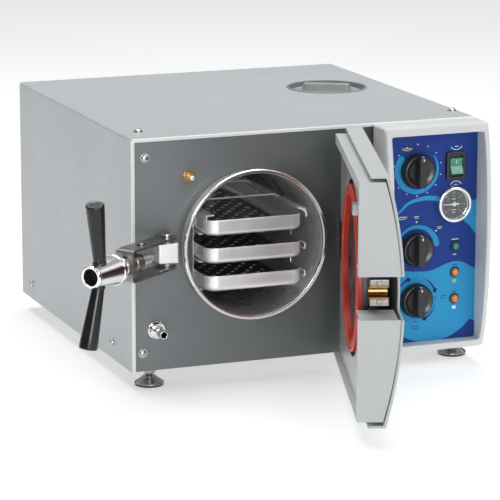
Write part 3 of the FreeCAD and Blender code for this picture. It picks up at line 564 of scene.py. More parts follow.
M = {
    "cabinet": coated("cabinet_powder_coat", LIGHT_GREY, 0.42, grain=1100.0, depth=0.02),
    # Painted highlight: the front hem is the cabinet's paint, made near-white for the light caught on its
    # rounding.
    "hem": coated("hem_painted_highlight", (0.98, 0.985, 0.985), 0.22, grain=1100.0, depth=0.008,
                  Coat_Weight=0.4, Coat_Roughness=0.15),
    "panel": coated("panel_enamel", PANEL_GREY, 0.36, grain=700.0, depth=0.004, shift=0.08,
                    spread=0.02, Coat_Weight=0.15, Coat_Roughness=0.3),
    "white": coated("white_moulding", MOULDED_WHITE, 0.40, grain=1500.0, depth=0.015),
    "door_white": coated("door_moulding", (0.58, 0.595, 0.60), 0.42, grain=1500.0, depth=0.015),
    "plate": coated("plate_blue_print", DEEP_BLUE, 0.50, grain=2600.0, depth=0.004, shift=0.10,
                    Specular_IOR_Level=0.2),
    "sky": coated("ink_sky_blue", SKY_BLUE, 0.50, grain=2600.0, depth=0.004, shift=0.06,
                  Specular_IOR_Level=0.2),
    "deep": coated("ink_deep_blue", (0.012, 0.05, 0.30), 0.50, grain=2600.0, depth=0.004,
                   Specular_IOR_Level=0.2),
    "ink_white": coated("ink_white", (0.80, 0.84, 0.86), 0.4, grain=2600.0, depth=0.006),
    "ink_green": coated("ink_green", (0.35, 0.62, 0.18), 0.4, grain=2600.0, depth=0.006),
    "ink_yellow": coated("ink_yellow", (0.78, 0.72, 0.30), 0.4, grain=2600.0, depth=0.006),
    "black": coated("black_moulding", BLACK, 0.34, grain=1300.0, depth=0.02, shift=0.3,
                    spread=0.06),
    "grip": coated("black_bakelite", (0.010, 0.011, 0.013), 0.26, grain=500.0, depth=0.002,
                   shift=0.3, spread=0.03, Coat_Weight=0.15, Coat_Roughness=0.1,
                   Specular_IOR_Level=0.35),
    "rubber": coated("foot_rubber", (0.045, 0.047, 0.05), 0.62, grain=800.0, depth=0.05, shift=0.25),
    "silicone": coated("red_silicone", GASKET_RED, 0.33, grain=600.0, depth=0.02, shift=0.12,
                       Subsurface_Weight=0.06, Subsurface_Radius=(0.004, 0.001, 0.0005)),
    "felt": coated("glass_felt", (0.66, 0.63, 0.55), 0.95, grain=300.0, depth=0.4, shift=0.2),
    "dish": coated("dish_grey", (0.27, 0.285, 0.29), 0.36, grain=900.0, depth=0.02),
    "cap": coated("cap_grey", (0.36, 0.378, 0.384), 0.36, grain=900.0, depth=0.02),
    "dial": coated("gauge_dial_grey", (0.022, 0.025, 0.028), 0.6, grain=2000.0, depth=0.005),
    "needle": coated("needle_white", (0.82, 0.82, 0.80), 0.4, grain=2600.0, depth=0.004),
    "green": coated("switch_green", (0.0, 0.30, 0.19), 0.16, grain=500.0, depth=0.01, shift=0.2,
                    Transmission_Weight=0.25, Emission_Color=(0.0, 0.40, 0.25, 1.0),
                    Emission_Strength=0.10, Coat_Weight=0.6, Coat_Roughness=0.05),
    "green_lens": coated("lamp_green", (0.01, 0.32, 0.20), 0.12, grain=500.0, depth=0.01, shift=0.2,
                         Transmission_Weight=0.3, Coat_Weight=0.7, Coat_Roughness=0.04),
    "orange_lens": coated("lamp_orange", (0.90, 0.30, 0.02), 0.12, grain=500.0, depth=0.01,
                          shift=0.2, Transmission_Weight=0.3, Coat_Weight=0.7, Coat_Roughness=0.04,
                          Emission_Color=(0.95, 0.35, 0.03, 1.0), Emission_Strength=0.12),
    "chrome": metal("chrome_plate", (0.74, 0.74, 0.75), 0.07, EVEN, 300.0, depth=0.0,
                    spread=0.015, shift=0.03, smudge=0.04),
    "arm_chrome": metal("arm_chrome", SILVER, 0.09, turned(ARM_CENTRE, ARM_AXIS), 1400.0,
                        depth=0.003, spread=0.03, shift=0.08, smudge=0.03),
    "forged": metal("forged_steel", (0.27, 0.262, 0.25), 0.26, EVEN, 220.0, depth=0.05, spread=0.08,
                    shift=0.5, smudge=0.12),
    "dark_chrome": metal("dark_chrome", (0.34, 0.34, 0.345), 0.13, EVEN, 300.0, depth=0.0,
                         spread=0.03, shift=0.1),
    "bright": metal("machined_bright", (0.90, 0.89, 0.87), 0.24, brushed((1.0, 1.0, 9.0)), 500.0,
                    depth=0.010, spread=0.08, metallic=0.85),
    "bar": metal("bar_steel", (0.24, 0.24, 0.235), 0.26, brushed((1.0, 9.0, 9.0)), 300.0,
                 depth=0.010, spread=0.08, shift=0.2),
    "rim": metal("polished_rim", (0.88, 0.87, 0.85), 0.17, turned(CHAMBER_CENTRE, BACK), 1600.0,
                 depth=0.004, spread=0.04, shift=0.08),
    "bore": metal("chamber_bore", (0.90, 0.89, 0.87), 0.27, turned(CHAMBER_CENTRE, BACK), 520.0,
                  depth=0.008, spread=0.09, shift=0.12, smudge=0.10, metallic=0.62),
    "sheet": metal("stainless_sheet", (0.72, 0.72, 0.715), 0.25, brushed((16.0, 1.0, 16.0)), 110.0,
                   depth=0.006, spread=0.07, shift=0.15),
    "rack": metal("rack_stainless", (0.93, 0.93, 0.925), 0.28, brushed((16.0, 1.0, 16.0)), 110.0,
                  depth=0.002, spread=0.05, shift=0.06, metallic=0.5),
    # Painted reflection: the door disc's steel is made near-black for the dark reflection seen inside the
    # gasket ring.
    "disc": metal("door_disc_steel_painted_dark_reflection", (0.07, 0.07, 0.072), 0.30, turned(DISC_CENTRE, DOOR_AXIS), 700.0,
                  depth=0.01, spread=0.07, shift=0.18),
    "inner_sheet": metal("door_sheet_steel", (0.66, 0.67, 0.67), 0.32, turned(DISC_CENTRE, DOOR_AXIS),
                         160.0, depth=0.04, spread=0.10, shift=0.24, metallic=0.8),
    "tray": metal("drawn_aluminium", (0.95, 0.955, 0.96), 0.30, brushed((1.0, 1.0, 0.04)), 90.0,
                  depth=0.0, spread=0.03, shift=0.03, smudge=0.03, metallic=0.55),
    # Painted shade: the tray floor is the same drawn aluminium as the walls, made dark for the shade and
    # dark reflection inside the tray.
    "tray_floor": metal("tray_floor_aluminium_painted_shade", (0.26, 0.26, 0.265), 0.30, brushed((1.0, 0.05, 1.0)),
                        700.0, depth=0.003, spread=0.06, shift=0.16, metallic=0.9),
    "zinc": metal("zinc_plated", (0.52, 0.52, 0.51), 0.20, EVEN, 420.0, depth=0.008, spread=0.08,
                  shift=0.15),
    "steel": metal("plain_steel", (0.62, 0.62, 0.61), 0.34, brushed((1.0, 12.0, 12.0)), 90.0, depth=0.01,
                   spread=0.08, shift=0.2),
    "bronze": metal("bearing_bronze", (0.24, 0.15, 0.065), 0.28, EVEN, 600.0, depth=0.006, spread=0.07,
                    shift=0.2),
    "brass": metal("turned_brass", (0.40, 0.25, 0.10), 0.24, EVEN, 500.0, depth=0.006, spread=0.07,
                   shift=0.15),
    "copper": metal("copper_pipe", (0.80, 0.42, 0.28), 0.28, EVEN, 120.0, depth=0.01, spread=0.1,
                    shift=0.2),
    # Painted shade: near-black liners inside the drain spigot's bore and the hub's mouth stand in for the
    # shade in those hollows.
    "inside": coated("painted_shade_in_hollows", (0.010, 0.010, 0.011), 0.6, grain=500.0, depth=0.02),
}


def paint_shade_towards_door(material):
    """Painted light and shade: the enamel's colour is lightened at the free corner and darkened towards the
    open door, for the door's shadow and the dark reflection in its gloss.
    """
    shader = material.node_tree.nodes["Principled BSDF"]
    painted = shader.inputs["Base Color"].links[0].from_socket
    coords = add_node(material, "TexCoord")
    rightward = add_node(material, "SeparateXYZ", {"Vector": coords.outputs["Object"]}).outputs["X"]
    painted_light_and_shade = remap(material, rightward, 0.0, 0.27, 1.5, 0.55)
    darker = add_node(material, "VectorMath", {0: painted, 1: painted_light_and_shade}, operation="MULTIPLY")
    wire(material, darker.outputs["Vector"], "Base Color")


# Painted shade on the front panel's enamel, darker towards the door.
paint_shade_towards_door(M["panel"])


def glass_material():
    """Clear gauge window: mostly see-through with a sharp reflection."""
    material = new_material("gauge_window", (0.92, 0.96, 0.96), 0.04, Alpha=0.06, IOR=1.30)
    grime = noise(material, place_coords(material), 240.0, 3.0)
    wire(material, remap(material, grime, 0.4, 0.7, 0.02, 0.09), "Roughness")
    return material


M["glass"] = glass_material()


def keep(node, look):
    """Show a CAD node as it is, with a proper material."""
    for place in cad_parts[node].material_slots:
        place.link = "OBJECT"
        place.material = M[look]


for part_name, look in {
    "base_plate": "steel", "rear_panel": "cabinet", "front_panel": "panel", "control_plate": "plate",
    "timer_unit": "steel", "thermostat_unit": "steel", "valve_unit": "brass", "heater_bands": "steel",
    "insulation_jacket": "felt", "chamber_saddles": "steel", "water_reservoir": "sheet",
    "water_pipes": "copper", "safety_valve": "brass", "power_inlet": "black",
    "hinge_bracket": "zinc", "hinge_pin": "zinc", "door_inner_sheet": "inner_sheet",
    "door_stud": "zinc", "bridge_seat": "bronze",
}.items():
    keep(part_name, look)


# ---------------------------------------------------------------- cabinet


def build_cover():
    h = CABINET_H
    w = CABINET_W
    wall = 2.0
    front = 1.6
    hole_r = CAP_R - 1.6
    outline = rounded([(0, 0), (0, h, 3), (w, h, 3), (w, 0), (w - wall, 0), (w - wall, h - wall, 1),
                       (wall, h - wall, 1), (wall, 0)], 6)
    sheet = prism(outline, in_front, front, CABINET_D)
    sheet = carve(sheet, rod((*CAP, h - 10), UP, hole_r, 0, 20, 96))
    piece("cover_sheet", sheet, "cabinet", "cabinet", "cabinet_cover", bevel=0.5)
    section = rounded([(0.0, 2.4, 0.3), (0.0, -0.1, 1.2), (4.2, -0.1, 1.2), (4.2, 2.6, 0.4)], 5)
    stations = [(0.0, 0.0, 1.0, 0.0), (0.0, h - 3.0, 1.0, 0.0)]
    for k in range(1, 8):
        a = math.radians(90 * k / 8)
        stations.append((3 - 3 * math.cos(a), h - 3 + 3 * math.sin(a), math.cos(a), -math.sin(a)))
    stations.append((3.0, h, 0.0, -1.0))
    right = [(w - x, z, -nx, nz) for x, z, nx, nz in reversed(stations)]
    rings = []
    for x, z, nx, nz in stations + right:
        rings.append([(x + nx * d, y, z + nz * d) for d, y in section])
    hem = loft(rings)
    piece("cover_front_hem", hem, "hem", "cabinet")


def pan_head(head_r=4.6):
    """Pan head with a cross recess, standing on a thin washer. Height runs along +Z."""
    profile = [(0, 0.7), (head_r - 0.5, 0.7), (head_r, 1.1), (head_r, 1.7), (head_r - 0.35, 2.5),
               (head_r - 1.1, 3.15), (head_r - 2.2, 3.5), (head_r - 3.4, 3.62), (0, 3.65)]
    head = lathe((0, 0, 0), UP, profile, 40)
    cuts = []
    for size_x, size_y in ((0.62, 2.3), (2.3, 0.62)):
        rings = []
        for z, k in ((1.6, 0.45), (4.4, 1.0)):
            rings.append([(x, y, z) for x, y in box(-size_x * k, size_x * k, -size_y * k, size_y * k)])
        cuts.append(loft(rings))
    head = carve(head, *cuts)
    washer = ring_of((0, 0, 0), UP, head_r + 1.2, 2.2, 0.02, 0.7, 0.2, 40)
    return head.join(washer)


def standing(shape, origin, axis, spin=0.0):
    """Move a shape built along +Z so that it stands on a point along another axis."""
    tilt = UP.rotation_difference(Vector(axis)).to_matrix().to_4x4()
    return shape.moved(Matrix.Translation(origin) @ tilt @ Matrix.Rotation(spin, 4, "Z"))


def build_screws():
    large = pan_head(4.4)
    small = pan_head(4.0)
    places = [((x, PANEL_Y, z), FRONT) for x, z in ((17.5, 256.0), (13.5, 23.0), (290.0, 265.0),
                                                    (290.0, 14.0))]
    places += [((24.0, 45.0, CABINET_H), UP), ((430.0, 45.0, CABINET_H), UP)]
    shape = Shape()
    for i, (origin, axis) in enumerate(places):
        shape.join(standing(large, origin, axis, 0.35 + 0.9 * i))
    for i, y in enumerate((72.6, 395.9)):
        shape.join(standing(small, (0.0, y, 21.0), RIGHT * -1, 0.5 + i))
        shape.join(standing(small, (CABINET_W, y, 21.0), RIGHT, 1.1 + i))
    piece("pan_screws", shape, "zinc", "cabinet", "panel_screws", sharp=30)


def build_feet():
    pads = Shape()
    stems = Shape()
    for x, y in FEET:
        rubber = rounded([(0, -21.0), (16.8, -21.0, 0.8), (17.2, -19.8, 0.5), (16.6, -18.6, 0.4),
                          (0, -18.6)], 3, closed=False)
        cup = rounded([(4.2, -18.6), (17.4, -18.6, 0.3), (17.8, -17.5, 0.5), (16.8, -16.3, 0.6),
                       (9.4, -11.4, 1.4), (6.8, -9.0, 0.5), (4.2, -9.0, 0.2)], 3)
        pads.join(lathe((x, y, 0), UP, rubber, 72), lathe((x, y, 0), UP, cup, 72, closed=True, mat=1))
        stems.join(thread((x, y, 0), UP, 4.0, -17.0, 12.0, 1.25, 0.5, 28),
                   hexagon((x, y, 0), UP, 13.0, -6.0, -0.6, 3.2),
                   hexagon((x, y, 0), UP, 13.0, 2.1, 7.0, 3.2),
                   ring_of((x, y, 0), UP, 8.5, 4.2, -0.6, 0.0, 0.2, 48))
    piece("foot_pads_moulded", pads, "rubber dark_chrome", "cabinet", "foot_pads")
    piece("foot_studs", stems, "dark_chrome", "cabinet", "foot_stems", sharp=28)


# ---------------------------------------------------------------- control panel


def rounded_rect(x0, x1, z0, z1, r, per_side=18, per_corner=6):
    """Points round a rectangle with rounded corners, the same number for any size."""
    corners = [(x1 - r, z1 - r, 0.0), (x0 + r, z1 - r, 90.0), (x0 + r, z0 + r, 180.0),
               (x1 - r, z0 + r, 270.0)]
    arcs = []
    for cx, cz, start in corners:
        arc = []
        for k in range(per_corner + 1):
            a = math.radians(start + 90.0 * k / per_corner)
            arc.append((cx + r * math.cos(a), cz + r * math.sin(a)))
        arcs.append(arc)
    out = []
    for i, arc in enumerate(arcs):
        out += arc
        ahead = arcs[(i + 1) % 4][0]
        last = arc[-1]
        for k in range(1, per_side):
            t = k / per_side
            out.append((last[0] + (ahead[0] - last[0]) * t, last[1] + (ahead[1] - last[1]) * t))
    return out


def bezel_front_y(z):
    span = (z - 143.0) / 139.0
    return -49.0 + 11.0 * span * span + 5.0 * span ** 6


def build_bezel():
    x0, x1, z0, z1 = BEZEL
    a0, a1, b0, b1 = WINDOW
    rings = []

    def add(inset, r, y_of):
        loop = rounded_rect(x0 + inset, x1 - inset, z0 + inset, z1 - inset, r)
        rings.append([(x, y_of(z), z) for x, z in loop])

    add(0.8, 2.5, lambda z: -0.15)
    add(0.0, 3.0, lambda z: -1.0)
    for t in (0.25, 0.5, 0.75):
        add(0.0, 3.0 + t, lambda z, t=t: -1.0 + (bezel_front_y(z) + 5.0) * t)
    edge = 4.5
    for k in range(7):
        a = math.radians(90 * k / 6)
        add(edge * (1 - math.cos(a)), 4.0,
            lambda z, a=a: bezel_front_y(z) + edge * (1 - math.sin(a)))
    face = rings[-1]
    lip = 1.8
    window = []
    for k in range(6):
        a = math.radians(90 * k / 5)
        grow = lip * (1 - math.sin(a))
        loop = rounded_rect(a0 - grow, a1 + grow, b0 - grow, b1 + grow, 3.4)
        window.append([(x, bezel_front_y(z) + lip * (1 - math.cos(a)), z) for x, z in loop])
    for t in (0.33, 0.66):
        rings.append([tuple(p + (q - p) * t for p, q in zip(f, w)) for f, w in zip(face, window[0])])
    rings += window
    draft = rounded_rect(a0 + 0.6, a1 - 0.6, b0 + 0.6, b1 - 0.6, 2.8)
    for t in (0.5, 1.0):
        rings.append([(wx + (dx - wx) * t, wy + (PLATE_FACE_Y - wy) * t, wz + (dz - wz) * t)
                      for (wx, wy, wz), (dx, dz) in zip(window[-1], draft)])
    pocket = rounded_rect(x0 + 3, x1 - 3, z0 + 3, z1 - 3, 1.0)
    rings.append([(x, PLATE_FACE_Y - 0.15, z) for x, z in pocket])
    rings.append([(x, -0.15, z) for x, z in pocket])
    piece("bezel_moulding", loft(rings, loop=True), "white", "cabinet", "control_bezel",
          sharp=45)


# The print lies on the plate as thin layers of ink, drawn in (x, z).
INK_Y = PLATE_FACE_Y
INK = 0.06


def ink(outline, layer):
    return prism(outline, in_front, INK_Y - INK * layer - 0.05, INK_Y + 0.3 - INK)


def stroke(line, widths, layer, caps=8):
    """A line of varying width with round ends."""
    line = [Vector(p) for p in line]
    left = []
    right = []
    for i, p in enumerate(line):
        ahead = (line[min(i + 1, len(line) - 1)] - line[max(i - 1, 0)]).normalized()
        side = Vector((-ahead.y, ahead.x))
        w = widths[i] / 2
        left.append(tuple(p + side * w))
        right.append(tuple(p - side * w))

    def cap(p, ahead, w):
        start = math.atan2(ahead.y, ahead.x)
        points = []
        for k in range(1, caps):
            a = start + math.pi / 2 - math.pi * k / caps
            points.append((p.x + w * math.cos(a), p.y + w * math.sin(a)))
        return points

    head = cap(line[-1], (line[-1] - line[-2]).normalized(), widths[-1] / 2)
    tail = cap(line[0], (line[0] - line[1]).normalized(), widths[0] / 2)
    return ink(left + head + right[::-1] + tail, layer)


def dash(x0, x1, z, width, layer):
    return stroke([(x0, z), (x1, z)], [width, width], layer, 4)


def polar(centre, r, degrees):
    a = math.radians(degrees)
    return (centre[0] + r * math.cos(a), centre[1] + r * math.sin(a))


def arc_line(centre, r, start, end, count=40):
    return [polar(centre, r, start + (end - start) * i / count) for i in range(count + 1)]


def sweep(centre, radii, angles, width_of, layer, count=40):
    """A curved stroke. Radius and angle run evenly between two values; width_of gives the width."""
    r0, r1 = radii
    a0, a1 = angles
    line = []
    widths = []
    for i in range(count + 1):
        t = i / count
        line.append(polar(centre, r0 + (r1 - r0) * t, a0 + (a1 - a0) * t))
        widths.append(width_of(t))
    return stroke(line, widths, layer)


def dot(x, z, r, layer):
    return ink([polar((x, z), r, 360 * i / 20) for i in range(20)], layer)


def smooth_line(points, per_span=8):
    """Catmull-Rom curve through the points."""
    out = []
    padded = [points[0]] + list(points) + [points[-1]]
    for p0, p1, p2, p3 in zip(padded, padded[1:], padded[2:], padded[3:]):
        for k in range(per_span):
            t = k / per_span
            out.append(tuple(0.5 * (2 * b + (c - a) * t + (2 * a - 5 * b + 4 * c - d) * t ** 2
                                    + (3 * b - a - 3 * c + d) * t ** 3)
                             for a, b, c, d in zip(p0, p1, p2, p3)))
    out.append(tuple(points[-1]))
    return out


def build_print():
    timer, thermostat, valve = [(KNOB_X + 0.8, z) for z in KNOB_Z]
    left = WINDOW[0] - 2
    right = WINDOW[1] + 2
    wave = smooth_line([(left, 112), (327, 104.5), (335, 101), (346, 98.8), (357, 97.6), (370, 97.3),
                        (381, 99.5), (394, 104.4), (404.8, 106.6), (415.5, 105.0), (424, 100.6),
                        (right, 94.0)])
    bowl = arc_line((374.0, 77.0), 68.5, -40, -152, 36)
    field = wave + [(right, 30.0)] + bowl + [(left, 60.0)]
    sky = ink(field, 0)
    band = smooth_line([(322, 166), (332, 173), (342.4, 182.0), (355.5, 186.0), (368.6, 187.2),
                        (382, 185.4), (392, 181.0)], 6)
    widths = [1.6 + 5.6 * i / (len(band) - 1) for i in range(len(band))]
    sky.join(stroke(band, widths, 0))
    wedge = arc_line((404.5, 178.0), 21.0, 30, -68, 16) + smooth_line(
        [(413.5, 158.5), (418.5, 154.5), (425.3, 148.6), (430, 142.0), (right, 136)], 6)
    wedge += [(right, 182.0), (426.0, 180.0)]
    sky.join(ink(wedge, 0))
    sky.join(sweep(timer, (25.4, 27.2), (146, 396), lambda t: 7.0 * (1 - t) ** 0.8 + 1.5, 0, 60))
    sky.join(sweep(thermostat, (26.4, 27.3), (158, 10), lambda t: 2.0 + 5.2 * t, 0))
    piece("print_sky_blue", sky, "sky", "cabinet")

    deep = Shape()
    for start, end in ((160, 112), (68, 22), (-18, -62), (-112, -160)):
        deep.join(sweep(valve, (27.5, 27.5), (start, end), lambda t: 0.5 + 2.9 * t, 1, 20))
        head = polar(valve, 27.5, end - 9)
        deep.join(ink([head, polar(valve, 31.4, end + 1), polar(valve, 23.6, end + 1)], 1))
    for angle, r in ((90, 27.0), (0, 26.6), (-90, 27.5)):
        top = polar(valve, r - 1.6, angle)
        deep.join(stroke([polar(valve, r + 1.2, angle + 4.4), top, polar(valve, r + 1.2, angle - 4.4)],
                         [0.7, 0.7, 0.7], 1, 4))
    for dx, dz, length in ((33.0, 1.9, 7.5), (33.0, -1.0, 6.0), (-5.0, -33.0, 10.0), (-3.0, -36.0, 6.5)):
        x = valve[0] + dx
        z = valve[1] + dz
        deep.join(dash(x, x + length, z, 0.8, 1))
    deep.join(dash(402.0, 409.0, 102.6, 0.8, 1), dash(402.6, 408.4, 68.8, 0.8, 1))
    piece("print_deep_blue", deep, "deep", "cabinet")

    white = Shape()
    for i in range(14):
        x, z = polar(timer, 31.4, 90 - 25.7 * i)
        white.join(dot(x, z, 0.75 if i else 0.9, 2))
    for angle in (90, 38, 141):
        x, z = polar(thermostat, 33.0, angle)
        white.join(dot(x, z, 1.1, 2))
        x, z = polar(thermostat, 38.6, angle)
        white.join(dash(x - 3.0, x + 3.0, z + 1.0, 0.7, 2), dash(x - 2.2, x + 2.2, z - 1.0, 0.7, 2))
    x = ROW2_X + 0.8
    for side, half in ((1, 1.7), (-1, 2.2)):
        middle = SWITCH_Z + (27.5 if side > 0 else -27.6)
        white.join(sweep((x, middle), (8.4, 8.4), (-146 * side, -34 * side), lambda t: 0.9, 2, 14))
        white.join(dash(x - half, x + half, SWITCH_Z + (23.2 if side > 0 else -23.4), 0.8, 2))
    white.join(dash(401.4, 409.4, 134.0, 1.0, 2), dash(403.6, 407.2, 115.2, 1.0, 2))
    white.join(ink(box(403.0, 408.0, 47.6, 51.4), 2))
    piece("print_white", white, "ink_white", "cabinet")

    mark = ink(box(402.8, 408.2, 80.4, 84.4), 2)
    piece("print_green", mark, "ink_green", "cabinet")
    accent = Shape()
    for x, z, dash_x in ((340.6, 257.4, 336.6), (334.8, 174.2, 331.2)):
        accent.join(sweep((x, z), (10.6, 10.6), (-128, -52), lambda t: 0.8, 2, 12))
        accent.join(dash(dash_x, dash_x + 8.0, z - 8.0, 0.9, 2))
    piece("print_yellow", accent, "ink_yellow", "cabinet")


def build_knob(index, body):
    z = KNOB_Z[index]
    base = (KNOB_X, PLATE_FACE_Y - 1.0, z)
    profile = rounded([(3.05, 0.0), (19.5, 0.0, 0.6), (20.7, 0.6, 0.5), (20.8, 2.4, 0.5),
                       (20.2, 3.0, 0.4), (19.7, 9.6, 2.2), (17.8, 10.4, 0.8), (13.2, 8.6, 3.0),
                       (3.05, 8.4)], 4)
    skirt = lathe(base, FRONT, profile, 120, closed=True)
    ribs = Shape()
    for i in range(60):
        a = 2 * math.pi * i / 60
        if abs(math.cos(a)) < 0.2:
            continue
        x = KNOB_X + 20.05 * math.cos(a)
        zz = z + 20.05 * math.sin(a)
        ribs.join(lathe((x, base[1] - 3.2, zz), FRONT, [(0, 0), (0.42, 0.1), (0.42, 5.4), (0, 6.0)], 6))
    rings = []
    for h, half_w, half_l in ((7.8, 6.1, 19.2), (12.0, 5.5, 19.1), (17.6, 4.9, 18.8), (19.2, 4.4, 18.3),
                              (19.9, 3.4, 17.4)):
        loop = []
        for px, pz in rounded_rect(-half_w, half_w, -half_l, half_l, min(3.2, half_w - 0.1), 6, 5):
            k = min(1.0, half_l / math.hypot(px, pz))
            loop.append((KNOB_X + px * k, base[1] - h, z + pz * k))
        rings.append(loop)
    bar = loft(rings)
    mark = block(KNOB_X - 0.75, KNOB_X + 0.75, base[1] - 20.05, base[1] - 19.0, z + 14.0, z + 17.0, 1)
    side_mark = block(KNOB_X - 0.75, KNOB_X + 0.75, base[1] - 18.6, base[1] - 12.6, z + 18.45, z + 19.15, 1)
    shape = skirt.join(ribs, bar, mark, side_mark)
    node = ("timer_knob", "thermostat_knob", "valve_knob")[index]
    piece(node + "_moulding", shape, "black ink_white", body, node,
          sharp=40)


def build_gauge():
    c = (GAUGE_X, PLATE_FACE_Y, GAUGE_Z)
    rim = rounded([(18.2, 1.0, 0.3), (22.4, 0.1, 0.2), (22.5, 3.4, 0.8), (21.6, 8.2, 1.6),
                   (18.4, 8.0, 0.9), (17.9, 6.6, 0.3), (18.2, 5.2, 0.2)], 5)
    shape = lathe(c, FRONT, rim, 128, closed=True)
    can = rounded([(17.8, 2.4, 0.2), (19.0, 2.4, 0.2), (19.0, -28.0, 1.0), (5.0, -28.0),
                   (5.0, -42.0, 0.6), (0, -42.0), (0, 1.0), (17.8, 1.0)], 3)
    shape.join(lathe(c, FRONT, can, 64))
    piece("gauge_body", shape, "chrome", "cabinet", "gauge_case")
    dial = disc_of(c, FRONT, 17.6, 1.6, 2.6, 0.2, 96)
    ticks = Shape()
    y0 = PLATE_FACE_Y - 2.72
    y1 = PLATE_FACE_Y - 2.4

    def mark(r0, r1, degrees, width):
        a = math.radians(degrees)
        d = Vector((math.cos(a), math.sin(a)))
        s = Vector((-d.y, d.x)) * width / 2
        corners = [d * r0 - s, d * r1 - s, d * r1 + s, d * r0 + s]
        return prism([(GAUGE_X + q.x, GAUGE_Z + q.y) for q in corners], in_front, y0, y1, 1)

    for i in range(31):
        major = i % 5 == 0
        ticks.join(mark(12.6 if major else 13.8, 15.0, 225 - 9 * i, 0.55 if major else 0.22))
    for i in range(7):
        ticks.join(mark(9.4, 10.6, 225 - 45 * i, 0.6))
    for dz, length in ((6.2, 5.0), (-7.0, 7.0), (-10.0, 4.4)):
        z = GAUGE_Z + dz
        bar = box(GAUGE_X - length / 2, GAUGE_X + length / 2, z - 0.4, z + 0.4)
        ticks.join(prism(bar, in_front, y0, y1, 1))
    piece("gauge_dial_face", dial.join(ticks), "dial needle", "cabinet", "gauge_dial")
    y = PLATE_FACE_Y - 4.2
    boss = rounded([(0, -1.0), (2.6, -1.0), (2.6, 0.5, 0.5), (1.2, 1.0, 0.5), (0, 1.1)], 3, closed=False)
    hub = lathe((GAUGE_X, y, GAUGE_Z), FRONT, boss, 36)
    arm = prism([(GAUGE_X + 6.4, GAUGE_Z - 1.1), (GAUGE_X - 14.6, GAUGE_Z - 0.4), (GAUGE_X - 15.2, GAUGE_Z),
                 (GAUGE_X - 14.6, GAUGE_Z + 0.4), (GAUGE_X + 6.4, GAUGE_Z + 1.1)], in_front, y, y + 0.6)
    piece("gauge_pointer", hub.join(arm), "needle", "pressure_needle", "gauge_needle",
          bevel=0.12, segments=2)
    lens = disc_of(c, FRONT, 18.3, 5.5, 6.7, 0.4, 96)
    piece("gauge_window", lens, "glass", "cabinet", "gauge_lens")


def build_switch():
    y = PLATE_FACE_Y
    rings = []

    def add(half_w, half_h, r, depth):
        loop = rounded_rect(ROW2_X - half_w, ROW2_X + half_w, SWITCH_Z - half_h, SWITCH_Z + half_h,
                            r, 6, 6)
        rings.append([(px, y - depth, pz) for px, pz in loop])

    for size in ((12.8, 17.0, 2.2, 0.0), (12.8, 17.0, 2.2, 2.2), (12.5, 16.7, 2.0, 3.1),
                 (11.8, 16.0, 1.8, 3.5), (9.2, 14.2, 1.4, 3.5), (8.5, 13.5, 1.0, 3.2),
                 (8.2, 13.2, 0.8, 2.4), (8.2, 13.2, 0.8, 0.9), (8.2, 9.8, 0.6, 0.6),
                 (8.2, 9.8, 0.6, -9.0)):
        add(*size)
    shape = loft(rings)
    shape.join(block(ROW2_X - 11.5, ROW2_X + 11.5, y + 9.2, y + 22.0, SWITCH_Z - 10.8, SWITCH_Z + 10.8))
    piece("switch_frame", shape, "black", "cabinet", "switch_housing")
    pivot = y - 2.4
    upper = smooth_line([(-9.4, pivot - 1.3), (-5.0, pivot + 0.1), (0.0, pivot + 0.1)], 6)
    lower = smooth_line([(0.0, pivot + 0.1), (5.0, pivot - 2.0), (9.4, pivot - 4.5)], 6)[1:]
    outline = upper + lower
    outline += [(9.5, pivot + 1.0), (5.0, pivot + 5.0), (-5.0, pivot + 5.0), (-9.5, pivot + 1.0)]
    rocker = prism([(py, SWITCH_Z - dz) for dz, py in outline], in_side, ROW2_X - 7.8, ROW2_X + 7.8)
    bar = block(ROW2_X - 0.6, ROW2_X + 0.6, pivot - 0.55, pivot + 0.6, SWITCH_Z + 2.6, SWITCH_Z + 7.2, 1)
    piece("switch_rocker", rocker.join(bar), "green ink_white", "power_switch",
          "power_rocker", bevel=0.6, segments=3)


def build_lamps():
    holders = Shape()
    for z in LAMP_Z:
        c = (LAMP_X, PLATE_FACE_Y, z)
        profile = rounded([(4.7, -0.1), (6.3, -0.1, 0.1), (6.4, 1.0, 0.5), (5.6, 1.9, 0.5),
                           (4.8, 1.7, 0.3)], 3)
        holders.join(lathe(c, FRONT, profile, 64, closed=True))
        holders.join(ring_of(c, FRONT, 4.0, 3.3, -21.0, -1.0, 0.1, 40))
    piece("lamp_holders", holders, "black", "cabinet", "lamp_bodies")

    def lens(z):
        profile = [(0, -11.0), (3.1, -11.0), (3.1, 0.2), (4.6, 0.2), (4.7, 1.4)]
        for k in range(1, 9):
            a = math.radians(90 * k / 8)
            profile.append((4.7 * math.cos(a), 1.9 + 3.9 * math.sin(a)))
        profile[-1] = (0.0, profile[-1][1])
        return lathe((LAMP_X, PLATE_FACE_Y, z), FRONT, profile, 48)

    piece("lamp_green", lens(LAMP_Z[0]), "green_lens", "cabinet", "lamp_lens_green")
    piece("lamps_orange", lens(LAMP_Z[1]).join(lens(LAMP_Z[2])), "orange_lens", "cabinet",
          "lamp_lenses_orange")


# ---------------------------------------------------------------- chamber, rack and trays


def dome_line(r, y, rise, count=14):
    """Section of a sphere cap of base radius r at y, from its middle to its rim."""
    ball = (r * r + rise * rise) / (2 * rise)
    line = []
    for k in range(count + 1):
        reach = r * k / count
        line.append((reach, y + rise - ball + math.sqrt(ball * ball - reach * reach)))
    return line


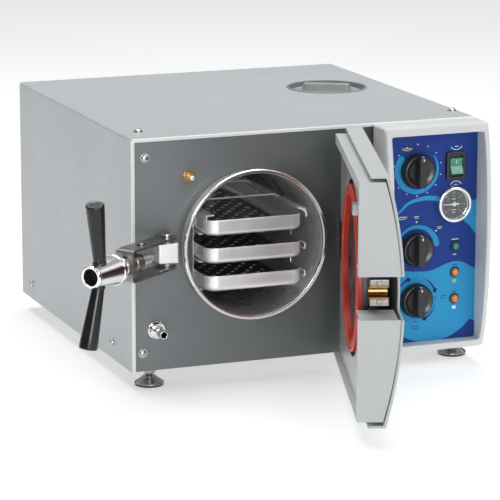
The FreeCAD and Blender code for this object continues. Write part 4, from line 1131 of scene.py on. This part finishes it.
def build_chamber():
    wall = 3.0
    front = CHAMBER_FRONT_Y + wall
    inner = dome_line(CHAMBER_R, CHAMBER_BACK_Y, 27.0)
    outer = dome_line(CHAMBER_R + wall, CHAMBER_BACK_Y, 30.0)[::-1]
    outer = [p for p in outer if p[0] > 9.0]
    profile = inner + [(CHAMBER_R, y) for y in (250.0, 150.0, 60.0, front)]
    profile += [(CHAMBER_R + wall, front)] + outer
    profile += [(9.0, outer[-1][1]), (9.0, 380.0), (0.0, 380.0)]
    shell = lathe(CHAMBER_CENTRE, BACK, profile, 160)
    piece("chamber_drawn_shell", shell, "bore", "cabinet", "chamber_shell")
    y = CHAMBER_FRONT_Y
    section = rounded([(CHAMBER_R, y + 0.2, 0.7), (CHAMBER_R + 1.6, y, 0.5), (RIM_R - 1.0, y, 0.5),
                       (RIM_R, y + 1.4, 0.7), (RIM_R, y + 6.4, 0.8), (RIM_R - 1.4, y + 7.5, 0.4),
                       (CHAMBER_R + wall + 0.05, y + 7.5), (CHAMBER_R + wall + 0.05, y + wall),
                       (CHAMBER_R, y + wall)], 4)
    rim = lathe(CHAMBER_CENTRE, BACK, section, 200, closed=True)
    piece("chamber_polished_rim", rim, "rim", "cabinet", "chamber_rim")


def slot_cutter(x, y0, y1, width, z0, z1):
    outline = soft_box(x - width / 2, x + width / 2, y0, y1, width / 2 - 0.01, 5)
    return prism(outline, in_top, z0, z1)


def build_rack():
    half = 61.8
    sheet = 1.2
    ledge = 4.5
    ledge_drop = 19.4
    flange_w = 9.0
    foot_z = 90.5
    brace_z = 89.2
    top_z = 184.5
    y0 = TRAY_Y0 - 1.5
    y1 = TRAY_Y0 + TRAY_LEN + 4.0
    sheet_y = y0 + 45.0
    sheets = Shape()
    for side in (-1, 1):
        inner = CHAMBER_X + side * half
        outer = CHAMBER_X + side * (half + sheet)
        lo, hi = min(inner, outer), max(inner, outer)
        face = rounded([(sheet_y, foot_z, 1.0), (y1, foot_z, 1.0), (y1, top_z, 5.0), (y0, top_z, 2.0),
                        (y0, top_z - 5.0, 2.0), (sheet_y, top_z - 5.0, 6.0)], 5)
        wall = prism(face, in_side, lo, hi)
        cuts = Shape()
        for top in TRAY_TOPS:
            for start in (sheet_y + 12.0, sheet_y + 90.0, sheet_y + 168.0):
                window = soft_box(start, start + 56.0, top - 13.0, top - 7.6, 2.4, 4)
                cuts.join(prism(window, in_side, lo - 2, hi + 2))
        sheets.join(carve(wall, cuts))
        ledge_end = CHAMBER_X + side * (half - ledge)
        for top in TRAY_TOPS:
            z = top - ledge_drop
            sheets.join(block(min(outer, ledge_end), max(outer, ledge_end), y0 + 24, y1, z - sheet, z))
        flange_end = CHAMBER_X + side * (half - flange_w)
        flange = block(min(outer, flange_end), max(outer, flange_end), y0, y1, top_z, top_z + sheet)
        cuts = Shape()
        for start in (10.0, 100.0, 190.0):
            cuts.join(slot_cutter(CHAMBER_X + side * (half - 3.6), start, start + 66.0, 4.0, 182, 190))
        sheets.join(carve(flange, cuts))
    rest = math.sqrt(CHAMBER_R ** 2 - (CHAMBER_Z - brace_z) ** 2) - 0.1
    for y in (sheet_y, y1 - 12):
        sheets.join(block(CHAMBER_X - rest, CHAMBER_X + rest, y, y + 12, brace_z, brace_z + 1.4))
    x = CHAMBER_X + half + 0.6
    for top in TRAY_TOPS[1:]:
        loop = bent([(x, sheet_y + 1, top - 2.0), (x, y0 + 1, top - 2.0), (x, y0 + 1, top - 9.0),
                     (x, sheet_y + 1, top - 9.0)], 2.6)
        sheets.join(tube(loop, 0.9, 10))
    clip = bent([(x - 8.0, 20.0, top_z + 2.0), (x - 8.0, y0 + 3, top_z + 2.0),
                 (x + 0.4, y0, top_z - 1.5), (x + 1.4, y0, top_z - 9.0)], 4.0)
    sheets.join(tube(clip, 1.3, 12))
    for y in (60.0, 150.0, 240.0):
        bow = bent([(CHAMBER_X - half + 4, y, top_z + 1.6), (CHAMBER_X - half + 9, y, top_z + 4.5),
                    (CHAMBER_X + half - 9, y, top_z + 4.5), (CHAMBER_X + half - 4, y, top_z + 1.6)], 4.0)
        sheets.join(tube(bow, 1.3, 12))
    piece("rack_frame", sheets, "rack", "cabinet", "tray_rack", bevel=0.25,
          segments=2)


def tray_shape():
    """One drawn tray with its bottom at height zero: wall, rolled rim and perforated floor."""
    half, length, high, y0 = 61.0, TRAY_LEN, 19.0, TRAY_Y0
    section = [(6.2, 1.0)]
    for k in range(6):
        a = math.radians(90 * k / 5)
        section.append((6.0 - 5.0 * math.sin(a), 6.0 - 5.0 * math.cos(a)))
    section += [(1.0, 11.0), (0.9, high - 1.6), (0.7, high - 0.5), (0.2, high), (-0.3, high - 0.2),
                (-0.55, high - 0.9), (-0.45, high - 1.7), (0.0, high - 2.2), (0.0, 11.0)]
    for k in range(6):
        a = math.radians(90 - 90 * k / 5)
        section.append((6.0 - 6.0 * math.sin(a), 6.0 - 6.0 * math.cos(a)))
    section.append((6.2, 0.0))
    rings = []
    for inset, z in section:
        loop = rounded_rect(CHAMBER_X - half + inset, CHAMBER_X + half - inset, y0 + inset,
                            y0 + length - inset, 15.0 - inset, 12, 12)
        rings.append([(x, y, z) for x, y in loop])
    wall = loft(rings, loop=True)
    edge = rounded_rect(CHAMBER_X - half + 6.1, CHAMBER_X + half - 6.1, y0 + 6.1, y0 + length - 6.1,
                        8.9, 12, 12)
    floor = prism(edge, in_top, 0.05, 0.98)
    holes = Shape()
    lips = Shape()
    for row in range(22):
        y = y0 + 16.0 + row * 12.0
        for col in range(6):
            x = CHAMBER_X + (col - 2.5) * 19.0 + (4.75 if row % 2 else -4.75)
            if abs(x - CHAMBER_X) > 51:
                continue
            holes.join(rod((x, y, -2.0), UP, 2.0, 0, 6.0, 14))
            lips.join(lathe((x, y, 0.0), UP, [(2.05, 0.9), (2.1, 1.35), (2.55, 1.35), (3.0, 0.9)], 16,
                            closed=True))
    floor = carve(floor, holes)
    # The floor takes the second material, whose dark colour is painted shade.
    return wall.join(floor.painted(1), lips.painted(0))


def build_trays():
    drawn = tray_shape()
    names = ("upper_tray", "middle_tray", "lower_tray")
    for i, body in enumerate(names):
        shape = drawn.moved(Matrix.Translation((0, 0, TRAY_TOPS[i] - 19.0)))
        piece(body + "_drawn", shape, "tray tray_floor", body, f"tray_{i + 1}",
              sharp=50)


# ---------------------------------------------------------------- filler, drain and door switch


def build_filler():
    z = CABINET_H
    profile = rounded([(24.0, z - 24.0), (25.2, z - 24.0), (25.2, z - 9.0), (CAP_R - 2.0, z - 9.0, 1.0),
                       (CAP_R - 2.0, z + 0.05), (CAP_R, z + 0.05, 0.2), (CAP_R, z + 0.9, 0.4),
                       (CAP_R - 2.4, z + 1.4, 0.8), (CAP_R - 3.4, z + 0.6, 0.6),
                       (CAP_R - 3.6, z - 7.6, 1.2), (24.0, z - 7.6)], 4)
    dish = lathe((*CAP, 0), UP, profile, 160, closed=True)
    piece("filler_dish", dish, "dish", "cabinet", "fill_port_dish")
    base = z - 7.5
    top = rounded([(0, base - 8.0), (23.6, base - 8.0, 0.5), (23.6, base), (46.6, base, 0.4),
                   (47.3, base + 1.8, 0.8), (44.8, base + 3.2, 0.8), (43.2, base + 2.5, 0.8),
                   (0, base + 2.5)], 4, closed=False)
    shape = lathe((*CAP, 0), UP, top, 160)
    rings = []
    for rise, half_l, half_w in ((2.0, 33.0, 7.4), (4.0, 31.4, 5.9), (9.5, 30.2, 5.2), (11.8, 29.4, 4.5),
                                 (12.8, 28.0, 3.2)):
        loop = rounded_rect(-half_l, half_l, -half_w, half_w, half_w - 0.05, 8, 8)
        rings.append([(x, y, base + rise) for x, y in loop])
    turn = Matrix.Translation((*CAP, 0)) @ Matrix.Rotation(math.radians(-28), 4, "Z")
    shape.join(loft(rings).moved(turn))
    piece("filler_cap_moulding", shape, "cap", "filler_cap", "fill_cap")


def build_drain():
    x, z = DRAIN
    c = (x, PANEL_Y, z)
    shape = hexagon(c, FRONT, 17.0, 1.6, 8.4, 4.0)
    shape.join(ring_of(c, FRONT, 10.6, 6.0, 0.1, 1.7, 0.4, 56))
    stem = rounded([(0, -20.0), (6.4, -20.0), (6.4, 1.0), (7.2, 8.3), (7.2, 9.6, 0.5), (5.9, 10.6, 0.4),
                    (5.0, 11.4, 0.4), (5.0, 25.0, 0.3), (4.7, 28.0, 0.3), (3.9, 28.0, 0.2), (3.9, 6.0),
                    (0, 6.0)], 3, closed=False)
    shape.join(lathe(c, FRONT, stem, 56))
    # A thin near-black liner in the bore: painted shade in the hollow.
    shape.join(lathe(c, FRONT, [(0, 8.0), (3.8, 8.0), (3.8, 27.0), (3.6, 27.2), (3.6, 8.4), (0, 8.4)], 40,
                     mat=1))
    piece("drain_spigot_turned", shape, "chrome inside", "drain_spigot", "drain_valve",
          sharp=32)


def build_door_switch():
    x, z = SWITCH_PIN
    c = (x, PANEL_Y, z)
    shape = hexagon(c, FRONT, 12.0, 0.8, 4.2, 4.0)
    shape.join(ring_of(c, FRONT, 7.4, 4.0, 0.05, 0.9, 0.2, 48))
    bush = rounded([(3.06, -16.0), (4.9, -16.0), (4.9, 5.4, 0.3), (4.3, 6.0, 0.3), (3.3, 6.0, 0.2),
                    (3.06, 5.7)], 3)
    shape.join(lathe(c, FRONT, bush, 48, closed=True))
    shape.join(block(x - 8, x + 8, PANEL_Y + 16, PANEL_Y + 38, z - 10, z + 10, 1))
    piece("door_switch_bush", shape, "brass black", "cabinet", "door_switch_socket",
          sharp=32)
    tip = rounded([(0, -12.7), (3.0, -12.7), (3.0, 13.5, 1.4), (0, 13.5)], 6, closed=False)
    piece("door_switch_tip", lathe(c, FRONT, tip, 48), "bright", "door_pin",
          "door_switch_plunger")


# ---------------------------------------------------------------- closing arm


def socket_head(z0, side, r=7.0, high=3.4):
    """Screw head with a hexagon socket, standing on the strap."""
    profile = rounded([(0, 0.0), (r, 0.0, 0.3), (r, high, 0.8), (0, high)], 4, closed=False)
    head = lathe((0, 0, 0), UP, profile, 48)
    head = carve(head, hexagon((0, 0, 0), UP, r * 0.95, high - 1.8, high + 3.0))
    return standing(head, (PIVOT[0], PIVOT[1], z0), UP * side)


def build_pivot():
    x, y = PIVOT
    body = block(26.5, 50.5, -20.0, PANEL_Y - 0.05, AXIS_Z - 12, AXIS_Z + 12)
    piece("pivot_machined_block", body, "bright", "cabinet", "pivot_block", bevel=1.3,
          segments=4)
    shape = Shape()
    for side in (-1, 1):
        axis = UP * side
        start = (x, y, AXIS_Z)
        shape.join(rod(start, axis, 4.0, 3.0, 19.4, 32))
        shape.join(ring_of(start, axis, 9.0, 4.03, 12.02, 15.9, 0.4, 56, mat=1))
        shape.join(socket_head(AXIS_Z + side * 19.3, side, 6.6, 3.2))
    piece("pivot_shoulder_screws", shape, "zinc forged", "cabinet", "pivot_screws",
          sharp=32)


def build_yoke():
    x, y = PIVOT
    eye_r = 12
    gauge = 3
    near = y + 12.5
    far = y - 86.0
    over = AXIS_Z + 19
    under = AXIS_Z - 19
    outline = rounded([(near, over), (far, over, 4.0), (far, under, 4.0), (near, under),
                       (near, under + gauge), (far + 3.4, under + gauge, 1.4),
                       (far + 3.4, over - gauge, 1.4), (near, over - gauge)], 6)
    strap = prism(outline, in_side, x - 13, x + 13)
    plan = [(x + eye_r, far - 1)] + arc_line((x, y), eye_r, 0, 180, 16) + [(x - eye_r, far - 1)]
    strap = carve(strap, prism(plan, in_top, under - 6, over + 6), operation="INTERSECT")
    bore = rod(ARM_CENTRE, FRONT, 8.06, 80.0, 90.0, 48)
    strap = carve(strap, bore)
    nut = rounded([(8.06, 61.5), (10.2, 61.5, 0.6), (11.0, 62.6, 0.5), (11.0, 72.0, 0.4), (10.3, 72.7, 0.3),
                   (10.3, 74.0, 0.3), (11.0, 74.7, 0.4), (11.0, 86.0), (8.06, 86.0)], 3)
    strap.join(lathe(ARM_CENTRE, FRONT, nut, 72, closed=True))
    for side in (-1, 1):
        head = rounded([(0, 0.0), (5.0, 0.0, 0.2), (5.0, 2.6, 0.7), (0, 2.6)], 4, closed=False)
        low = lathe((0, 0, 0), UP, head, 40)
        low = carve(low, hexagon((0, 0, 0), UP, 4.6, 1.2, 5.0))
        strap.join(standing(low, (x, y - 52.0, over if side > 0 else under), UP * side))
    piece("yoke_forged_strap", strap, "forged", "closing_arm", "closing_yoke", turn=ARM,
          bevel=0.7, sharp=40)


def build_foot():
    profile = rounded([(0, 32.0), (5.0, 32.0, 0.6), (5.0, 40.0), (7.5, 40.0, 0.4), (7.5, 57.0), (7.0, 57.0),
                       (7.0, 60.0), (4.04, 60.0), (4.04, 48.0), (0, 48.0)], 3, closed=False)
    shape = lathe(ARM_CENTRE, FRONT, profile, 56)
    shape.join(ring_of(ARM_CENTRE, FRONT, 9.2, 7.0, 57.0, 60.0, 0.4, 64, mat=1))
    piece("pressure_foot_turned", shape, "bright bronze", "press_foot", "pressure_foot",
          turn=ARM)


def build_spindle():
    screw = thread(ARM_CENTRE, FRONT, 8.0, 60.2, 91.0, 2.2, 0.8, 48)
    screw.join(rod(ARM_CENTRE, FRONT, 4.0, 48.2, 60.6, 32))
    collars = rounded([(0, 90.5), (11.0, 90.5, 0.3), (11.5, 91.2, 0.4), (11.5, 93.6, 0.4), (9.5, 94.0, 0.2),
                       (9.5, 96.0, 0.2), (11.6, 96.0, 0.4), (12.0, 96.8, 0.4), (12.0, 99.4, 0.6),
                       (10.0, 100.0, 0.3), (10.0, 104.0), (8.0, 104.1), (8.0, 108.0), (0, 108.0)], 3,
                      closed=False)
    screw.join(lathe(ARM_CENTRE, FRONT, collars, 72))
    screw.join(ring_of(ARM_CENTRE, FRONT, 10.3, 9.3, 94.0, 96.0, 0.2, 72, mat=1))
    screw.join(ring_of(ARM_CENTRE, FRONT, 10.9, 9.8, 100.6, 103.0, 0.4, 72, mat=1))
    piece("spindle_turned", screw, "arm_chrome bronze", "press_screw", "spindle",
          turn=ARM, sharp=34)


def build_hub():
    profile = rounded([(8.0, 108.05), (8.0, 104.05), (16.8, 104.05, 0.6), (18.2, 105.4, 0.6),
                       (18.1, 109.0, 1.0), (17.2, 110.2, 1.0), (12.9, 147.6, 1.0), (13.2, 148.8, 0.5),
                       (13.1, 151.2, 0.8), (12.0, 153.0, 0.6), (10.1, 153.0, 0.4), (9.6, 152.2, 0.4),
                       (9.6, 139.0), (0, 139.0)], 5, closed=False)
    profile = [(0, 108.05)] + profile
    shape = lathe(ARM_CENTRE, FRONT, profile, 96)
    # A near-black cup in the hub's mouth: painted shade in the hollow.
    shape.join(lathe(ARM_CENTRE, FRONT, [(0, 139.1), (9.5, 139.1), (9.5, 151.6), (9.2, 151.8), (9.0, 139.6),
                                        (0, 139.6)], 64, mat=1))
    piece("hub_chromed_cone", shape, "arm_chrome inside", "press_screw", "handle_hub",
          turn=ARM)


def build_grips():
    shape = Shape()
    lean = math.radians(12.0)
    spin = math.radians(4.0)
    for side in (-1, 1):
        along = Vector((side * math.cos(lean) * math.sin(spin), -math.sin(lean),
                        side * math.cos(lean) * math.cos(spin)))
        root = (PIVOT[0], PIVOT[1] - 133.0, AXIS_Z)
        profile = rounded([(0, 8.0), (7.2, 8.0), (7.1, 14.5), (7.5, 21.0, 3.0), (10.6, 77.0, 8.0),
                           (10.8, 84.4, 1.4), (9.8, 86.0, 0.6), (8.4, 86.0, 0.6), (7.8, 85.2, 0.6),
                           (0, 84.9)], 5, closed=False)
        shape.join(lathe(root, along, profile, 64))
        collar = rounded([(5.4, 12.0), (7.8, 12.0, 0.3), (8.1, 15.0, 0.5), (7.4, 16.2, 0.3),
                          (5.4, 16.2)], 3)
        shape.join(lathe(root, along, collar, 64, closed=True))
        shape.join(ring_of(Vector(root) + along * 85.0, along, 8.6, 7.6, -0.6, 0.7, 0.3, 64, mat=1))
    piece("grip_mouldings", shape, "grip zinc", "press_screw", "handle_grips",
          turn=ARM)


# ---------------------------------------------------------------- door
# s runs from the free edge towards the hinge and n out of the door's inner plane.


def door_block(s0, s1, n0, n1, z0, z1, mat=0):
    return block(DOOR_X0 + s0, DOOR_X0 + s1, DOOR_Y0 - n1, DOOR_Y0 - n0, z0, z1, mat)


def bow(z, edge, middle, z0, z1):
    """Distance of the bowed front from the inner plane at one height."""
    rise = middle - edge
    chord = (z1 - z0) / 2
    ball = (chord * chord + rise * rise) / (2 * rise)
    return middle - ball + math.sqrt(ball * ball - (z - (z0 + z1) / 2) ** 2)


def bow_line(edge, middle, z0, z1, count=36):
    line = []
    for k in range(count + 1):
        z = z0 + (z1 - z0) * k / count
        line.append((DOOR_Y0 - bow(z, edge, middle, z0, z1), z))
    return line


def arm_notch():
    return door_block(-8, 49.5, -6, 90, *NOTCH_Z)


def hinge_space():
    return door_block(262, 330, -6, 46.2, AXIS_Z - 25, AXIS_Z + 25)


def build_door_covers():
    split = 11.8
    wall = 3.0
    outer = bow_line(32.0, 51.0, DOOR_Z0, DOOR_Z1)
    inner = bow_line(32.0 - wall, 51.0 - wall, DOOR_Z0 + wall, DOOR_Z1 - wall)[::-1]
    outline = [(DOOR_Y0 - split, DOOR_Z0)] + outer + [(DOOR_Y0 - split, DOOR_Z1)]
    outline += [(DOOR_Y0 - split, DOOR_Z1 - wall)] + inner + [(DOOR_Y0 - split, DOOR_Z0 + wall)]
    shell = prism(outline, in_side, DOOR_X0, DOOR_X0 + DOOR_L)
    shell = carve(shell, arm_notch(), hinge_space())
    piece("door_outer_moulding", shell, "door_white", "door", "door_outer_cover",
          turn=DOOR, bevel=1.1, segments=4, sharp=40)
    z0 = DOOR_Z0 + DOOR_STEP
    z1 = DOOR_Z1 - DOOR_STEP
    n_edge = 32.0 - wall - 0.3
    n_mid = 51.0 - wall - 0.3
    line = bow_line(n_edge, n_mid, z0, z1)
    outline = [(DOOR_Y0, z0)] + line + [(DOOR_Y0, z1)]
    solid = prism(outline, in_side, DOOR_X0 + 1.5, DOOR_X0 + DOOR_L - 1.5)
    line = bow_line(n_edge + 5, n_mid + 5, z0 + 3, z1 - 3)
    hollow = prism([(DOOR_Y0 - 3, z0 + 3)] + line + [(DOOR_Y0 - 3, z1 - 3)], in_side, DOOR_X0 + 4.5,
                   DOOR_X0 + DOOR_L - 4.5)
    far = DOOR_X0 + DOOR_L
    mouth = rounded([(DOOR_X0 + 12, z0 + 3, 4.0), (far + 5, z0 + 3), (far + 5, z1 - 11),
                     (DOOR_X0 + 12, z1 - 11, 8.0)], 6)
    mouth = prism(mouth, in_front, DOOR_Y0 - 5, DOOR_Y0 + 5)
    hinge_side = door_block(DOOR_L - 12, DOOR_L + 5, -1, split, z0 + 3, z1 - 11)
    box = carve(solid, hollow, mouth, hinge_side, arm_notch(), hinge_space())
    for low in (NOTCH_Z[0] - 3.0, NOTCH_Z[1]):
        box.join(door_block(4.5, 49.9, 3.0, 44.0, low, low + 3.0))
    piece("door_inner_moulding", box, "door_white", "door", "door_inner_cover",
          turn=DOOR, bevel=1.2, segments=4, sharp=40)


def build_door_disc():
    c = (CHAMBER_X, DOOR_Y0, CHAMBER_Z)
    profile = rounded([(0, 9.6), (30.0, 9.6), (36.0, 11.2, 6.0), (60.0, 11.2, 6.0), (66.0, 9.8, 4.0),
                       (80.6, 9.8, 2.0), (82.4, 13.2, 0.6), (97.4, 13.2, 0.8), (97.6, 9.7, 0.4),
                       (98.6, 9.4, 0.4), (99.0, 10.2, 0.4), (99.0, 16.0, 1.0), (22.0, 16.0),
                       (22.0, 19.8, 0.6), (0, 19.8)], 5, closed=False)
    piece("door_pressed_disc", lathe(c, FRONT, profile, 160), "disc", "door", "door_disc",
          turn=DOOR)
    n0 = DOOR_Y0 - CHAMBER_FRONT_Y + 0.2
    section = rounded([(83.0, 13.0, 0.6), (83.0, n0 + 1.0, 1.2), (85.0, n0, 1.2), (89.2, n0 + 0.1, 0.6),
                       (90.0, n0 + 0.9, 0.5), (90.8, n0 + 0.1, 0.6), (93.6, n0, 1.2),
                       (95.5, n0 + 1.4, 1.3), (95.5, 13.0, 0.6)], 5)
    piece("door_silicone_ring", lathe(c, FRONT, section, 200, closed=True), "silicone", "door",
          "door_gasket", turn=DOOR, sharp=60)


def build_bridge():
    z = AXIS_Z
    solid = door_block(25, 47.5, 15, 36, z - 15, z + 15)
    end = (DOOR_X0 + 35.5, z)
    slot = [(DOOR_X0 + 20, z - 8), (end[0], z - 8)] + arc_line(end, 8, -80, 80, 16)
    slot += [(end[0], z + 8), (DOOR_X0 + 20, z + 8)]
    solid = carve(solid, prism(slot, in_front, DOOR_Y0 - 40, DOOR_Y0 - 10))
    bar = door_block(46, 262, 20, 34, z - 15, z + 15)
    hole = rod((CHAMBER_X, DOOR_Y0, z), FRONT, 7.05, 15, 45, 40)
    bar = carve(bar, hole)
    shape = solid.join(bar, door_block(258, 273, 24, 40, z - 14, z + 14))
    knuckle = rounded([(4.05, -14.5), (6.0, -14.5, 0.5), (6.0, 14.5, 0.5), (4.05, 14.5)], 3)
    shape.join(lathe((*HINGE, z), UP, knuckle, 48, closed=True))
    for rise in (-10.5, 10.5):
        screw = rounded([(0, 0.0), (2.9, 0.0), (2.9, 1.4, 0.6), (0, 1.6)], 3, closed=False)
        shape.join(standing(lathe((0, 0, 0), UP, screw, 28), (DOOR_X0 + 25, DOOR_Y0 - 25.5, z + rise),
                            RIGHT * -1))
    piece("bridge_bar", shape, "bar", "door", "door_bridge", turn=DOOR, bevel=1.0,
          sharp=40)


def build_all():
    build_cover()
    build_screws()
    build_feet()
    build_bezel()
    build_print()
    for index, body in enumerate(("timer_dial", "thermostat_dial", "valve_dial")):
        build_knob(index, body)
    build_gauge()
    build_switch()
    build_lamps()
    build_chamber()
    build_rack()
    build_trays()
    build_filler()
    build_drain()
    build_door_switch()
    build_pivot()
    build_yoke()
    build_foot()
    build_spindle()
    build_hub()
    build_grips()
    build_door_covers()
    build_door_disc()
    build_bridge()


build_all()


# ---------------------------------------------------------------- floor, light and camera

WORLD_LIGHT = 0.33
MIRRORED_BANDS = ((0.03, 0.10), (0.20, 0.03), (0.34, 0.06), (0.44, 0.9), (0.58, 1.0), (0.70, 0.35),
                  (0.82, 0.45))
MIDDLE = Vector((0.19, 0.10, 0.16))
EYE = (-1.059, -2.998, 0.880)
LENS_MM = 200.1
HEADING, TILT, ROLL = -21.60, 77.29, 0.12


def build_floor():
    material = new_material("studio_floor", (0.90, 0.91, 0.915), 0.6,
                            Emission_Color=(1.0, 1.0, 1.0, 1.0), Emission_Strength=0.38)
    vector = place_coords(material)
    drift = noise(material, vector, 1.4, 3.0)
    wire(material, tint(material, remap(material, drift, 0.3, 0.7, 0.0, 1.0), (0.855, 0.865, 0.87),
                        (0.87, 0.88, 0.885)), "Base Color")
    size = 24.0
    mesh = bpy.data.meshes.new("floor")
    mesh.from_pydata([(x, y, 0) for x, y in box(-size, size, -size, size)], [], [(0, 1, 2, 3)])
    mesh.materials.append(material)
    floor = bpy.data.objects.new("floor", mesh)
    bpy.context.scene.collection.objects.link(floor)


def build_world():
    """Even white surroundings; mirrors also see a dark band above the floor's edge."""
    world = bpy.data.worlds.new("studio")
    bpy.context.scene.world = world
    world.use_nodes = True
    nodes = world.node_tree.nodes
    links = world.node_tree.links
    nodes.clear()

    def background(strength, color=(1, 1, 1, 1)):
        node = nodes.new("ShaderNodeBackground")
        node.inputs["Color"].default_value = color
        node.inputs["Strength"].default_value = strength
        return node

    def switch(ray, off, on):
        node = nodes.new("ShaderNodeMixShader")
        links.new(path.outputs[ray], node.inputs["Fac"])
        links.new(off.outputs[0], node.inputs[1])
        links.new(on.outputs[0], node.inputs[2])
        return node

    path = nodes.new("ShaderNodeLightPath")
    coords = nodes.new("ShaderNodeTexCoord")
    height = nodes.new("ShaderNodeSeparateXYZ")
    links.new(coords.outputs["Generated"], height.inputs["Vector"])
    ramp = nodes.new("ShaderNodeValToRGB")
    links.new(height.outputs["Z"], ramp.inputs["Fac"])
    stops = ramp.color_ramp.elements
    stops[0].color = (0.55, 0.55, 0.55, 1)
    stops[1].color = (0.95, 0.96, 0.97, 1)
    for place, value in MIRRORED_BANDS:
        stops.new(place).color = (value, value, value * 1.02, 1)
    mirror = background(1.0)
    links.new(ramp.outputs["Color"], mirror.inputs["Color"])
    lit = switch("Is Glossy Ray", background(WORLD_LIGHT, (0.98, 0.99, 1.0, 1)), mirror)
    out = nodes.new("ShaderNodeOutputWorld")
    links.new(switch("Is Camera Ray", lit, background(1.0)).outputs[0], out.inputs["Surface"])


def area_light(name, place, width, height, power, sheen_only=False):
    """A soft box aimed at the object. With sheen_only it shows in shiny surfaces alone."""
    lamp = bpy.data.lights.new(name, "AREA")
    lamp.shape = "RECTANGLE"
    lamp.size = width
    lamp.size_y = height
    lamp.energy = power
    obj = bpy.data.objects.new(name, lamp)
    obj.location = place
    obj.rotation_euler = (MIDDLE - Vector(place)).to_track_quat("-Z", "Y").to_euler()
    obj.visible_diffuse = not sheen_only
    bpy.context.scene.collection.objects.link(obj)


def build_camera():
    lens = bpy.data.cameras.new("view")
    lens.lens = LENS_MM
    lens.sensor_width = 36.0
    lens.clip_end = 60.0
    camera = bpy.data.objects.new("view", lens)
    turn = Matrix.Identity(4)
    for degrees, axis in ((HEADING, "Z"), (TILT, "X"), (ROLL, "Z")):
        turn = turn @ Matrix.Rotation(math.radians(degrees), 4, axis)
    camera.matrix_world = Matrix.Translation(EYE) @ turn
    bpy.context.scene.collection.objects.link(camera)
    bpy.context.scene.camera = camera


build_floor()
build_world()
area_light("key_right", (1.7, -2.2, 1.9), 1.5, 1.5, 21.0)
area_light("top_soft", (0.2, 0.6, 2.6), 2.2, 2.2, 50.0)
area_light("left_strip", (-2.6, -0.6, 1.2), 0.6, 1.8, 1.0)
area_light("front_sheen", (-0.5, -3.4, 1.0), 1.3, 1.3, 78.0, sheen_only=True)
build_camera()
bpy.context.scene.view_settings.view_transform = "Standard"
